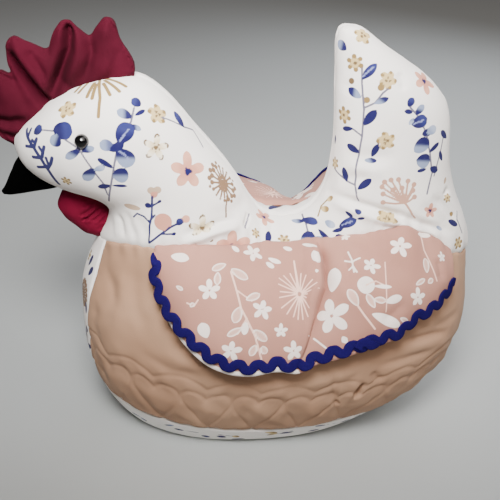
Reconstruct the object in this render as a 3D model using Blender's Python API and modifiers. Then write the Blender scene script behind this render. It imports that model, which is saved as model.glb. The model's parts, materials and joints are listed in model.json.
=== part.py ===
"""A padded cloth hen that covers eggs: floral back, head and tail, tan quilted sides, printed wings."""
import math

import bmesh
import bpy
import numpy as np
from mathutils import Vector
from mathutils.bvhtree import BVHTree

MM = 0.001

# Sizes in millimetres. X runs from beak to tail, Y from the near (left) to the far side, Z up.
GAP = 0.3
WALL = 8.0
WING_SEAM_GAP = 0.45
SEAM_UNDERCUT = 1.5
FORM_CELL = 6.0
FORM_SOFTENING = 4
OVAL_POWER = 2.2
HEM_POINTS = 48
HEM_ROWS = 2

# The padded belly as level sections: height, front end, rear end, half width.
BODY_SECTIONS = (
    (-14.0, -55.0, 46.0, 33.0),
    (0.0, -69.0, 66.0, 45.0),
    (8.0, -75.0, 78.0, 50.0),
    (20.0, -80.5, 93.0, 56.5),
    (35.0, -84.0, 105.0, 62.0),
    (50.0, -85.5, 110.0, 63.5),
    (65.0, -85.5, 110.5, 60.0),
    (80.0, -83.5, 109.0, 49.5),
    (90.0, -79.0, 105.0, 37.0),
    (98.0, -72.0, 98.0, 22.0),
    (102.0, -62.0, 88.0, 12.0),
    (104.0, -40.0, 60.0, 5.0),
)
# Neck and head as slanting sections: front x and z, rear x and z, half width.
HEAD_SECTIONS = (
    (-62.0, 70.0, 16.0, 78.0, 38.0),
    (-76.0, 88.0, 10.0, 99.0, 36.0),
    (-72.0, 102.0, 2.0, 110.0, 32.5),
    (-66.0, 112.0, -5.0, 124.0, 30.0),
    (-67.0, 119.0, -17.0, 140.0, 28.5),
    (-79.0, 122.0, -28.0, 155.0, 28.5),
    (-91.0, 126.0, -38.5, 167.5, 28.0),
    (-100.0, 131.5, -50.0, 176.5, 26.0),
    (-106.5, 138.5, -70.0, 175.0, 22.0),
    (-109.0, 146.0, -86.0, 167.0, 15.0),
    (-107.5, 151.0, -99.0, 157.0, 6.0),
)
# Tail as slanting sections, from inside the body to the tip.
TAIL_SECTIONS = (
    (10.0, 76.0, 98.0, 60.0, 38.0),
    (22.0, 100.0, 109.0, 82.0, 31.0),
    (34.0, 115.0, 107.0, 100.0, 26.0),
    (38.0, 131.0, 97.0, 122.0, 22.0),
    (38.8, 150.0, 94.0, 144.5, 19.8),
    (38.0, 167.0, 90.5, 163.0, 17.2),
    (37.2, 182.5, 74.0, 178.0, 13.2),
    (36.6, 193.0, 56.5, 190.0, 10.2),
    (38.0, 200.0, 51.5, 199.0, 7.5),
)
# The spokes that measure round the hen start on a line inside it, shorter near the hem.
AXIS_LOW = (-35.0, 38.0)
AXIS_HIGH = (-44.0, 74.0)
AXIS_HIGH_Z = 80.0
AXIS_TOP_Z = 62.0
FAN_SHARE = 0.28

# Seam between the white back and the tan sides: x and height.
SEAM_LINE = (
    (-77.0, 96.0),
    (-70.0, 100.5),
    (-65.0, 103.0),
    (-57.0, 105.5),
    (-43.0, 106.0),
    (-30.0, 106.0),
    (-18.0, 104.5),
    (-2.0, 100.5),
    (17.0, 98.0),
    (36.0, 101.0),
    (54.0, 106.0),
    (71.0, 108.5),
    (83.0, 103.0),
    (93.0, 94.0),
    (104.0, 89.0),
    (112.0, 86.0),
)
# Seam between the tan sides and the hem band.
HEM_SEAM_LOW = 14.0
HEM_SEAM_RISE = 7.0
HEM_SEAM_MIDDLE = 6.0
HEM_SEAM_REACH = 75.0
# Chest gusset: height and half width.
GUSSET_WIDTHS = (
    (0.0, 15.0),
    (30.0, 18.0),
    (64.0, 20.0),
    (72.0, 19.6),
    (80.0, 18.2),
    (88.0, 16.0),
    (95.0, 14.0),
    (102.0, 12.5),
)
GUSSET_COLUMNS = 8

# Quilting along the bottom of the sides: hearts, with a scallop over each pair of lobes.
HEARTS = 9
HEART_COLUMNS = 8
BAND_ROWS = 8
ROW_HEIGHT = 4.25
UPPER_SHARES = (0.08, 0.38, 0.7, 1.0)
ROW_STEP = 4
SIDE_STEP = 4
GUSSET_STEP = 2
STITCH_DEPTH = 1.5
PUFF_HEIGHT = 0.9
# Which points of a half heart are stitched down, by row: columns from the heart's middle.
STITCHED = ((0,), (1,), (2,), (3,), (4,), (0, 4), (0, 1, 2, 3), (1,), (2, 3, 4))

# Wings: place on the seam, length, droop of the near and of the far wing, forward slant.
WING_SECTIONS = (
    (-45.0, 11.0, 66.0, 8.0, 0.0),
    (-42.0, 29.0, 60.0, 14.0, 1.0),
    (-33.0, 45.0, 54.0, 17.0, 1.0),
    (-23.0, 54.0, 52.0, 16.0, 1.0),
    (-9.0, 59.0, 47.0, 15.5, 0.0),
    (14.0, 61.5, 39.0, 15.5, 0.0),
    (38.0, 56.5, 41.0, 22.0, 0.0),
    (53.0, 52.0, 47.0, 12.5, 0.0),
    (66.0, 48.0, 52.0, 9.0, 0.0),
    (82.0, 34.0, 55.0, 9.0, 0.0),
    (93.0, 16.5, 55.0, 11.0, 0.0),
)
WING_COLUMNS = 26
WING_ROWS = 8
WING_THICKNESS = 2.4
NEAR_BULGE = 0.13
FAR_BULGE = 0.05
WING_CLEARANCE = 3.2
PLEAT_TOP_X = 34.0
PLEAT_LOW_X = 26.0
PLEAT_DEPTH = 5.0
PLEAT_WIDTH = 5.0

# Distance of the braid's middle from the wing's edge, by share of the way to the rear.
RICRAC_INSETS = (
    (0.0, 6.5),
    (0.12, 7.5),
    (0.25, 5.5),
    (0.4, 3.7),
    (1.0, 3.5),
)
RICRAC_LIFT = 0.6
RICRAC_PITCH = 10.0
RICRAC_SWAY = 1.6
RICRAC_WIDTH = 3.2
RICRAC_THICKNESS = 1.2
RICRAC_STEPS = 6

# Comb outline: x, z, and whether the corner is a sharp valley.
COMB_OUTLINE = (
    (-100.0, 143.0, False),
    (-109.5, 145.5, False),
    (-117.5, 157.0, False),
    (-115.5, 170.0, False),
    (-111.0, 179.5, False),
    (-103.6, 175.0, True),
    (-105.8, 186.0, False),
    (-102.5, 194.3, False),
    (-97.5, 192.5, False),
    (-88.0, 187.6, True),
    (-83.5, 197.5, False),
    (-79.0, 200.6, False),
    (-74.5, 197.0, False),
    (-69.5, 192.6, True),
    (-66.0, 197.8, False),
    (-61.0, 201.3, False),
    (-56.5, 192.0, False),
    (-51.0, 177.5, False),
    (-60.0, 166.0, False),
    (-85.0, 158.0, False),
)
COMB_PLATE = 3.0
COMB_EDGE = 1.4
COMB_FULLNESS = 4.2
COMB_ROUNDING = 12.0
COMB_CELL = 3.4
# Folds pressed in the comb: top x and z, bottom x and z, depth on the near and the far face.
COMB_FOLDS = (
    (-79.0, 197.0, -84.0, 176.0, 1.6, 0.6),
    (-103.0, 184.0, -88.0, 166.0, 1.8, 0.8),
    (-114.0, 156.0, -101.0, 152.0, 1.4, 0.8),
)
FOLD_WIDTH = 3.0

BEAK_SECTIONS = (
    (-96.0, 145.0, -82.0, 130.0, 9.5),
    (-106.7, 138.8, -89.0, 124.0, 9.0),
    (-111.6, 131.0, -100.0, 121.7, 6.2),
    (-115.0, 124.5, -111.5, 119.8, 3.2),
    (-117.0, 121.8, -116.0, 119.8, 1.2),
)
WATTLE_CENTRE = (-77.4, 0.0, 110.2)
WATTLE_HALF_SIZE = (15.5, 8.3, 9.8)
WATTLE_TILT = 43.0
WATTLE_PUCKERS = 7
WATTLE_PUCKER_DEPTH = 0.07

EYE_X = -74.0
EYE_Z = 155.0
EYE_RADIUS = 3.35
EYE_PROUD = 1.2

FLORAL_WHITE = (0.90, 0.87, 0.84)
TAN = (0.55, 0.38, 0.27)
WING_PINK = (0.62, 0.41, 0.33)
TRIM_BLUE = (0.013, 0.023, 0.24)
COMB_RED = (0.16, 0.010, 0.025)
WATTLE_RED = (0.30, 0.012, 0.030)
FELT_BLACK = (0.006, 0.006, 0.007)
BEAD_BLACK = (0.004, 0.004, 0.005)


def clear_scene():
    for old in list(bpy.data.objects):
        bpy.data.objects.remove(old)


def cloth(name, colour, roughness):
    """A Principled material for one piece."""
    material = bpy.data.materials.new(name)
    material.use_nodes = True
    shader = material.node_tree.nodes["Principled BSDF"]
    shader.inputs["Base Color"].default_value = (*colour, 1.0)
    shader.inputs["Roughness"].default_value = roughness
    shader.inputs["Metallic"].default_value = 0.0
    material.diffuse_color = (*colour, 1.0)
    return material


def smooth_row(table, position):
    """The table's row at a fractional position, on a Catmull-Rom curve through its rows."""
    last = len(table) - 1
    index = min(max(int(position), 0), last - 1)
    part = position - index
    before = np.array(table[max(index - 1, 0)], dtype=float)
    start = np.array(table[index], dtype=float)
    end = np.array(table[index + 1], dtype=float)
    after = np.array(table[min(index + 2, last)], dtype=float)
    slope_start = (end - before) / 2
    slope_end = (after - start) / 2
    return (start * (1 - 3 * part**2 + 2 * part**3) + end * (3 * part**2 - 2 * part**3)
            + slope_start * (part - 2 * part**2 + part**3) + slope_end * (part**3 - part**2))


def finish(name, build, collection, material=None):
    """A new object from a bmesh in millimetres, shaded smooth but for its sharp edges."""
    bmesh.ops.remove_doubles(build, verts=build.verts, dist=0.01)
    bmesh.ops.recalc_face_normals(build, faces=build.faces)
    bmesh.ops.scale(build, vec=(MM, MM, MM), verts=build.verts)
    mesh = bpy.data.meshes.new(name)
    build.to_mesh(mesh)
    build.free()
    mesh.shade_smooth()
    mesh.set_sharp_from_angle(angle=math.radians(50))
    if material:
        mesh.materials.append(material)
    piece = bpy.data.objects.new(name, mesh)
    collection.objects.link(piece)
    return piece


def add_skin(build, rows, creased=None):
    """Faces over a grid of points, split along a crease where two of its points meet in one."""
    skin = [[build.verts.new(Vector(point)) for point in row] for row in rows]
    for k in range(len(skin) - 1):
        low, high = skin[k], skin[k + 1]
        for i in range(len(low) - 1):
            first, second, third, fourth = low[i], low[i + 1], high[i + 1], high[i]
            if creased is None:
                build.faces.new((first, second, third, fourth))
                continue
            rising = creased(k, i) + creased(k + 1, i + 1)
            falling = creased(k, i + 1) + creased(k + 1, i)
            if rising == 2 or (rising == 0 and falling == 1):
                build.faces.new((first, second, third))
                build.faces.new((first, third, fourth))
            else:
                build.faces.new((second, third, fourth))
                build.faces.new((second, fourth, first))
    return skin


def loft(name, rings, collection, material=None):
    """A closed mesh through rings of equal point count, with both ends capped."""
    build = bmesh.new()
    add_skin(build, [list(ring) + [ring[0]] for ring in rings])
    bmesh.ops.remove_doubles(build, verts=build.verts, dist=0.01)
    for ring in (rings[0], rings[-1]):
        cap = []
        for point in ring:
            cap.append(min(build.verts, key=lambda vertex: (vertex.co - Vector(point)).length))
        build.faces.new(cap)
    return finish(name, build, collection, material)


def oval(angle):
    """A point on a unit oval that is a little squarer than an ellipse."""
    cosine, sine = math.cos(angle), math.sin(angle)
    power = 2 / OVAL_POWER
    return (math.copysign(abs(cosine) ** power, cosine), math.copysign(abs(sine) ** power, sine))


def level_ring(row, count=48):
    z, front, rear, half_width = row
    middle, half_length = (front + rear) / 2, (rear - front) / 2
    turns = [oval(2 * math.pi * i / count) for i in range(count)]
    return [(middle + half_length * u, half_width * v, z) for u, v in turns]


def slanting_ring(row, count=32):
    front = np.array((row[0], 0.0, row[1]))
    rear = np.array((row[2], 0.0, row[3]))
    middle, reach = (front + rear) / 2, (rear - front) / 2
    side = np.array((0.0, row[4], 0.0))
    turns = [oval(2 * math.pi * i / count) for i in range(count)]
    return [tuple(middle + reach * u + side * v) for u, v in turns]


def section_rings(table, ring, steps):
    total = (len(table) - 1) * steps
    return [ring(smooth_row(table, i / steps)) for i in range(total + 1)]


def hide(piece):
    piece.hide_render = True
    piece.display_type = "WIRE"


def solid_copy(name, source, collection):
    """A mesh object with the source's modifiers worked in."""
    depsgraph = bpy.context.evaluated_depsgraph_get()
    mesh = bpy.data.meshes.new_from_object(source.evaluated_get(depsgraph))
    mesh.name = name
    piece = bpy.data.objects.new(name, mesh)
    piece.matrix_world = source.matrix_world
    collection.objects.link(piece)
    return piece


def boolean(piece, other, operation="DIFFERENCE"):
    change = piece.modifiers.new("boolean", "BOOLEAN")
    change.operation = operation
    change.object = other
    change.solver = "EXACT"


def build_form(guides):
    """The hen's whole outer form, belly, neck with head, and tail, melted into one guide."""
    body = loft("form_body", section_rings(BODY_SECTIONS, level_ring, 2), guides)
    head = loft("form_head", section_rings(HEAD_SECTIONS, slanting_ring, 3), guides)
    tail = loft("form_tail", section_rings(TAIL_SECTIONS, slanting_ring, 3), guides)
    boolean(body, head, "UNION")
    boolean(body, tail, "UNION")
    even = body.modifiers.new("even", "REMESH")
    even.mode = "VOXEL"
    even.voxel_size = FORM_CELL * MM
    soft = body.modifiers.new("soft", "SMOOTH")
    soft.factor = 0.5
    soft.iterations = FORM_SOFTENING
    form = solid_copy("form", body, guides)
    form.data.shade_smooth()
    for piece in (body, head, tail, form):
        hide(piece)
    return form


class Skin:
    """The form's surface, read along level spokes from outside, in millimetres."""

    def __init__(self, form):
        depsgraph = bpy.context.evaluated_depsgraph_get()
        self.tree = BVHTree.FromObject(form, depsgraph)

    def cast(self, start, direction):
        place, normal, _, _ = self.tree.ray_cast(Vector(start) * MM, Vector(direction).normalized())
        return np.array(place) / MM, np.array(normal)

    def spoke(self, turn, z):
        """Start x and direction of the near side's spoke, from the breast (0) to the rump (1)."""
        rise = min(max(z / AXIS_HIGH_Z, 0.0), 1.0)
        front = AXIS_LOW[0] + (AXIS_HIGH[0] - AXIS_LOW[0]) * rise
        rear = AXIS_LOW[1] + (AXIS_HIGH[1] - AXIS_LOW[1]) * rise
        if turn < FAN_SHARE:
            return front, math.pi / 2 * turn / FAN_SHARE
        if turn > 1 - FAN_SHARE:
            return rear, math.pi / 2 * (1 + (turn - 1 + FAN_SHARE) / FAN_SHARE)
        return front + (rear - front) * (turn - FAN_SHARE) / (1 - 2 * FAN_SHARE), math.pi / 2

    def at(self, turn, z):
        x, angle = self.spoke(turn, z)
        out = np.array((-math.cos(angle), -math.sin(angle), 0.0))
        place, _ = self.cast(np.array((x, 0.0, z)) + 150 * out, -out)
        return place

    def inward(self, turn, point):
        """The direction from a point on the skin to the line inside the hen."""
        x, _ = self.spoke(turn, point[2])
        way = np.array((x, 0.0, min(point[2], AXIS_TOP_Z))) - point
        return way / np.linalg.norm(way)

    def seam_height(self, turn):
        z = 100.0
        xs, zs = zip(*SEAM_LINE)
        for _ in range(5):
            z = float(np.interp(self.at(turn, z)[0], xs, zs))
        return z

    def hem_height(self, turn):
        x = self.at(turn, HEM_SEAM_LOW)[0]
        return HEM_SEAM_LOW + HEM_SEAM_RISE * ((x - HEM_SEAM_MIDDLE) / HEM_SEAM_REACH) ** 2

    def gusset_turn(self, z, margin):
        """The turn at which the skin is half a gusset away from the centre plane."""
        heights, widths = zip(*GUSSET_WIDTHS)
        half_width = float(np.interp(z, heights, widths)) + margin
        low, high = 0.0, FAN_SHARE
        for _ in range(14):
            middle = (low + high) / 2
            if -self.at(middle, z)[1] < half_width:
                low = middle
            else:
                high = middle
        return low


def spread(points, marks):
    """Points at the marks (lengths along it) of a polyline."""
    points = np.array(points)
    steps = np.linalg.norm(np.diff(points, axis=0), axis=1)
    length = np.concatenate(([0.0], np.cumsum(steps)))
    return np.array([[np.interp(mark, length, points[:, k]) for k in range(3)] for mark in marks])


def polyline_length(points):
    return float(np.linalg.norm(np.diff(np.array(points), axis=0), axis=1).sum())


def grid_normals(grid):
    """Outward unit normals of a grid of points on the near side."""
    across = np.gradient(grid, axis=1)
    up = np.gradient(grid, axis=0)
    normals = np.cross(across, up)
    return normals / np.linalg.norm(normals, axis=2, keepdims=True)


def mirrored(grid):
    return grid * np.array((1.0, -1.0, 1.0))


def padded_panel(name, outer, inner, column_step, collection, material, creased=None):
    """A closed pad between a fine outer skin and an inner skin with some of its rows and columns."""
    build = bmesh.new()
    front = add_skin(build, outer, creased)
    back = add_skin(build, inner)
    rows, columns = len(outer) - 1, len(outer[0]) - 1
    assert rows % ROW_STEP == 0 and columns % column_step == 0
    for edge_front, edge_back, step in (
        (front[0], back[0], column_step),
        (front[-1], back[-1], column_step),
        ([row[0] for row in front], [row[0] for row in back], ROW_STEP),
        ([row[columns] for row in front], [row[-1] for row in back], ROW_STEP),
    ):
        for k in range(len(edge_back) - 1):
            span = edge_front[k * step:(k + 1) * step + 1]
            build.faces.new(span + [edge_back[k + 1], edge_back[k]])
    bmesh.ops.triangulate(build, faces=[face for face in build.faces if len(face.verts) > 4])
    return finish(name, build, collection, material)


def stitched(row, column):
    """Whether a point of the side's grid lies on a quilting line."""
    half = HEART_COLUMNS // 2
    across = abs((column + half) % HEART_COLUMNS - half)
    return row < len(STITCHED) and across in STITCHED[row]


def quilt_relief(row, column):
    """How far the padding stands out, or a stitch draws it in, at a point of the grid."""
    if row > BAND_ROWS:
        return 0.0
    if stitched(row, column):
        return -STITCH_DEPTH
    beside = ((row - 1, column), (row + 1, column), (row, column - 1), (row, column + 1))
    return PUFF_HEIGHT * (0.5 if any(stitched(*place) for place in beside) else 1.0)


def column_points(skin, turn_of):
    """Points up the skin from seam to seam, one for each of a panel's rows, and their turns."""
    low, high = HEM_SEAM_LOW, 100.0
    for _ in range(3):
        low = skin.hem_height(turn_of(low))
        high = skin.seam_height(turn_of(high))
    low += GAP
    fine = 40
    points = []
    turns = []
    for i in range(fine + 1):
        z = low + (high - low) * i / fine
        turns.append(turn_of(z))
        points.append(skin.at(turns[-1], z))
    marks = panel_marks(polyline_length(points))
    steps = np.linalg.norm(np.diff(np.array(points), axis=0), axis=1)
    length = np.concatenate(([0.0], np.cumsum(steps)))
    placed = spread(points, marks)
    placed_turns = np.interp(marks, length, turns)
    return placed, placed_turns


def panel_marks(total):
    """Lengths of a panel's rows above the hem seam: the hearts' rows, then wider ones."""
    band = [ROW_HEIGHT * i for i in range(BAND_ROWS + 1)]
    rest = total - WING_SEAM_GAP - band[-1]
    return band + [band[-1] + rest * share for share in UPPER_SHARES]


def inner_skin(skin, outer, turns, column_step):
    """Some rows and columns of a skin, moved in by the wall's thickness, the top row undercut."""
    rows = []
    for i in range(0, len(outer), ROW_STEP):
        row = []
        for j in range(0, len(outer[0]), column_step):
            point = outer[i][j]
            row.append(point + WALL * skin.inward(turns[i][j], point))
        rows.append(row)
    rows = np.array(rows)
    rows[-1, :, 2] -= SEAM_UNDERCUT
    return rows


def side_panels(skin, collection, material):
    """The two tan sides, from the hem seam to the wing seam, with the hearts quilted in."""
    columns = HEARTS * HEART_COLUMNS
    edge_turns = {}

    def front_turn(z):
        key = round(z, 1)
        if key not in edge_turns:
            edge_turns[key] = skin.gusset_turn(key, GAP / 2)
        return edge_turns[key]

    fine = 240
    middle_height = 45.0
    start = front_turn(middle_height)
    shares = np.linspace(0.0, 1.0, fine + 1)
    trace = [skin.at(start + (1 - start) * share, middle_height) for share in shares]
    steps = np.linalg.norm(np.diff(np.array(trace), axis=0), axis=1)
    length = np.concatenate(([0.0], np.cumsum(steps)))
    even_shares = np.interp(np.linspace(0.0, length[-1], columns + 1), length, shares)

    grid, grid_turns = [], []
    for share in even_shares:

        def turn_of(z, share=share):
            edge = front_turn(z)
            return edge + (1 - edge) * share

        points, turns = column_points(skin, turn_of)
        points[:, 1] = np.minimum(points[:, 1], -GAP / 2)
        grid.append(points)
        grid_turns.append(turns)
    outer = np.array(grid).transpose(1, 0, 2)
    turns = np.array(grid_turns).T
    inner = inner_skin(skin, outer, turns, SIDE_STEP)
    inner[:, -1, 1] = -GAP / 2
    normals = grid_normals(outer)
    for i in range(1, len(outer) - 1):
        for j in range(1, columns):
            outer[i][j] += normals[i][j] * quilt_relief(i, j)
    for name, front, back in (("side_left", outer, inner),
                              ("side_right", mirrored(outer), mirrored(inner))):
        padded_panel(name, front, back, SIDE_STEP, collection, material, stitched)


def chest_gusset(skin, collection, material):
    """The floral strip down the breast, from the throat to the hem."""
    grid, grid_turns = [], []
    half = GUSSET_COLUMNS // 2
    for j in range(-half, half + 1):

        def turn_of(z, j=j):
            return skin.gusset_turn(z, -GAP / 2) * abs(j) / half

        points, turns = column_points(skin, turn_of)
        if j > 0:
            points = mirrored(points)
        grid.append(points)
        grid_turns.append(turns)
    outer = np.array(grid).transpose(1, 0, 2)
    near = outer * np.where(outer[:, :, 1:2] > 0, (1.0, -1.0, 1.0), (1.0, 1.0, 1.0))
    inner = inner_skin(skin, near, np.array(grid_turns).T, GUSSET_STEP)
    inner[:, GUSSET_COLUMNS // GUSSET_STEP // 2 + 1:, 1] *= -1
    padded_panel("chest_gusset", outer, inner, GUSSET_STEP, collection, material)


def hem_band(skin, collection, material):
    """The band round the open base, with the flat edge that the cosy rests on."""
    half = HEM_POINTS // 2
    near = [i / half for i in range(half + 1)]
    outer, inner = [], []
    for k in range(HEM_ROWS + 1):
        out_row, in_row = [], []
        for turn in near:
            z = skin.hem_height(turn) * k / HEM_ROWS
            point = skin.at(turn, z)
            if turn in (0.0, 1.0):
                point[1] = 0.0
            out_row.append(point)
            in_row.append(point + WALL * skin.inward(turn, point))
        for row, target in ((out_row, outer), (in_row, inner)):
            far = [mirrored(point) for point in row[-2:0:-1]]
            target.append(row + far + [row[0]])
    build = bmesh.new()
    add_skin(build, outer)
    add_skin(build, inner)
    add_skin(build, [outer[0], inner[0]])
    add_skin(build, [outer[-1], inner[-1]])
    finish("hem_band", build, collection, material)


def under_cutter(skin, guides):
    """What lies below the wing seam: its brim parts the upper panels, its crown hollows them."""
    count = 56
    rows = [[] for _ in range(7)]
    for i in range(count + 1):
        turn = i / count
        z = skin.seam_height(turn)
        seam = skin.at(turn, z)
        inward = skin.inward(turn, seam)
        if i in (0, count):
            seam[1] = 0.0
            inward[1] = 0.0
            inward /= np.linalg.norm(inward)
        reach = 16.0 + 9.0 * math.sin(math.pi * turn)
        x, angle = skin.spoke(turn, 50.0)
        far = np.array((x - 90 * math.cos(angle), -90 * math.sin(angle), 0.0))
        edge = seam + WALL * inward
        rows[0].append((far[0], 0.0, -30.0))
        rows[1].append((far[0], far[1], -30.0))
        rows[2].append((far[0], far[1], 55.0))
        rows[3].append(seam - reach * inward)
        rows[4].append(edge)
        rows[5].append((edge[0], edge[1] * 0.5, edge[2] + 2.5))
        rows[6].append((edge[0], 0.0, edge[2] + 3.5))
    for row in rows:
        for k in (0, -1):
            row[k] = (row[k][0], 0.0, row[k][2])
    build = bmesh.new()
    add_skin(build, rows)
    add_skin(build, [[(x, -y, z) for x, y, z in row] for row in rows])
    cutter = finish("under_cutter", build, guides)
    hide(cutter)
    return cutter


def block(name, low, high, guides):
    """A cutting box between two corners."""
    build = bmesh.new()
    bmesh.ops.create_cube(build, size=1.0)
    size = np.array(high) - np.array(low)
    bmesh.ops.scale(build, vec=size, verts=build.verts)
    bmesh.ops.translate(build, vec=(np.array(high) + np.array(low)) / 2, verts=build.verts)
    cutter = finish(name, build, guides)
    hide(cutter)
    return cutter


def ball(name, centre, radius, collection, material=None, segments=14, rings=9):
    build = bmesh.new()
    bmesh.ops.create_uvsphere(build, u_segments=segments, v_segments=rings, radius=radius)
    bmesh.ops.rotate(build, cent=(0, 0, 0), verts=build.verts,
                     matrix=Vector((0, 0, 1)).rotation_difference(Vector((0, 1, 0))).to_matrix())
    bmesh.ops.translate(build, vec=centre, verts=build.verts)
    return finish(name, build, collection, material)


def upper_panels(form, skin, guides, collection, material):
    """The white floral halves of head, neck, back and tail, with a seat for each eye."""
    under = under_cutter(skin, guides)
    bead = cloth("bead", BEAD_BLACK, 0.12)
    for name, side in (("left", -1), ("right", 1)):
        piece = solid_copy("upper_" + name, form, collection)
        far = block("half_" + name, (-200, -GAP / 2, -60), (200, 100, 260), guides)
        if side > 0:
            far.data.transform(((1, 0, 0, 0), (0, -1, 0, 0), (0, 0, 1, 0), (0, 0, 0, 1)))
            far.data.flip_normals()
        place, normal = skin.cast((EYE_X, side * 100, EYE_Z), (0, -side, 0))
        centre = place + normal * (EYE_PROUD - EYE_RADIUS * 0.35)
        pocket = ball("pocket_" + name, centre, EYE_RADIUS + GAP, guides)
        hide(pocket)
        for cutter in (under, far, pocket):
            boolean(piece, cutter)
        piece.data.materials.clear()
        piece.data.materials.append(material)
        ball("eye_" + name, centre, EYE_RADIUS, collection, bead)


def seam_place(skin, x):
    """The point of the wing seam at an x, and the skin's normal there."""
    xs, zs = zip(*SEAM_LINE)
    z = float(np.interp(x, xs, zs))
    return skin.cast((x, -150.0, z), (0, 1, 0))


def wing_grid(skin, droop_column, bulge):
    """The middle of the wing's cloth as rows from the free edge up to the seam, on the near side."""
    last = len(WING_SECTIONS) - 1
    columns = []
    for i in range(WING_COLUMNS + 1):
        row = smooth_row(WING_SECTIONS, last * i / WING_COLUMNS)
        root_x, length, slant = row[0], row[1], row[4]
        droop = math.radians(row[droop_column])
        seam, normal = seam_place(skin, root_x)
        start = seam + normal * (WING_THICKNESS / 2 + GAP)
        run = np.array((slant, -math.cos(droop) * length, -math.sin(droop) * length))
        lift = np.array((0.0, -math.sin(droop), math.cos(droop)))
        column = []
        for k in range(WING_ROWS, -1, -1):
            v = k / WING_ROWS
            pleat_x = PLEAT_TOP_X + (PLEAT_LOW_X - PLEAT_TOP_X) * v
            dip = math.exp(-((root_x - pleat_x) / PLEAT_WIDTH) ** 2) * min(4 * v, 1.0)
            rise = length * bulge * 4 * v * (1 - v) - PLEAT_DEPTH * dip
            point = start + run * v + lift * rise
            if k > 0:
                clear = WING_THICKNESS / 2 + GAP + WING_CLEARANCE * min(1.0, 3 * v)
                point = pushed_out(skin, point, clear)
            column.append(point)
        columns.append(column)
    return np.array(columns).transpose(1, 0, 2)


def pushed_out(skin, point, clearance):
    """The point, moved off the skin where it is nearer than the clearance."""
    place, normal, _, _ = skin.tree.find_nearest(Vector(point) * MM)
    place, normal = np.array(place) / MM, np.array(normal)
    height = float(np.dot(point - place, normal))
    if height < clearance:
        return point + normal * (clearance - height)
    return point


def sheet_solid(name, grid, collection, material, mirror=False):
    """A closed sheet of cloth, half its thickness to each side of a grid on the near side."""
    normals = grid_normals(grid)
    build = bmesh.new()
    top = grid + normals * WING_THICKNESS / 2
    under = grid - normals * WING_THICKNESS / 2
    if mirror:
        top, under = mirrored(top), mirrored(under)
    add_skin(build, top)
    add_skin(build, under)
    for front, back in ((top[0], under[0]), (top[-1], under[-1]), (top[:, 0], under[:, 0]),
                        (top[:, -1], under[:, -1])):
        add_skin(build, [front, back])
    return finish(name, build, collection, material)


def grid_point(grid, row, column):
    """The grid's point at fractional places."""
    i = min(int(row), len(grid) - 2)
    j = min(int(column), len(grid[0]) - 2)
    v, u = row - i, column - j
    low = grid[i][j] * (1 - u) + grid[i][j + 1] * u
    high = grid[i + 1][j] * (1 - u) + grid[i + 1][j + 1] * u
    return low * (1 - v) + high * v


def ricrac(name, grid, collection, material, mirror=False):
    """The wavy braid sewn along the wing's free edge, on its outer face."""
    normals = grid_normals(grid)
    last_row, last_column = len(grid) - 1, len(grid[0]) - 1
    face = grid + normals * (WING_THICKNESS / 2 + RICRAC_LIFT + RICRAC_THICKNESS / 2)
    route = []
    for i in range(121):
        column = 0.4 + (last_column - 0.9) * i / 120
        drop = polyline_length([grid_point(grid, k, column) for k in range(last_row + 1)])
        inset = np.interp(column / last_column, *zip(*RICRAC_INSETS))
        row = last_row * min(inset / drop, 0.6)
        route.append(grid_point(face, row, column))
    total = polyline_length(route)
    waves = round(total / RICRAC_PITCH)
    count = waves * RICRAC_STEPS
    marks = [total * i / count for i in range(count + 1)]
    middle = spread(route, marks)
    ahead = np.gradient(middle, axis=0)
    ahead /= np.linalg.norm(ahead, axis=1, keepdims=True)
    rings = []
    for i in range(count + 1):
        gaps = np.linalg.norm(face - middle[i], axis=2)
        k, j = np.unravel_index(np.argmin(gaps), gaps.shape)
        up = normals[k][j] - ahead[i] * np.dot(normals[k][j], ahead[i])
        up /= np.linalg.norm(up)
        side = np.cross(ahead[i], up)
        phase = 2 * math.pi * i / RICRAC_STEPS
        slope = RICRAC_SWAY * 2 * math.pi / RICRAC_PITCH * math.cos(phase)
        tilt = side - ahead[i] * slope
        tilt /= np.linalg.norm(tilt)
        centre = middle[i] + side * RICRAC_SWAY * math.sin(phase)
        half = tilt * RICRAC_WIDTH / 2
        rise = up * RICRAC_THICKNESS / 2
        rings.append([centre - half - rise, centre + half - rise, centre + half + rise,
                      centre - half + rise])
    if mirror:
        rings = [[mirrored(point) for point in ring] for ring in rings]
    return loft(name, rings, collection, material)


def outline_distance(points, outline):
    """Distance from each point to the nearest side of a closed outline."""
    best = np.full(len(points), 1e9)
    for start, end in zip(outline, np.roll(outline, -1, axis=0)):
        side = end - start
        along = np.clip(((points - start) @ side) / (side @ side), 0.0, 1.0)
        near = start + along[:, None] * side
        best = np.minimum(best, np.linalg.norm(points - near, axis=1))
    return best


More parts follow.
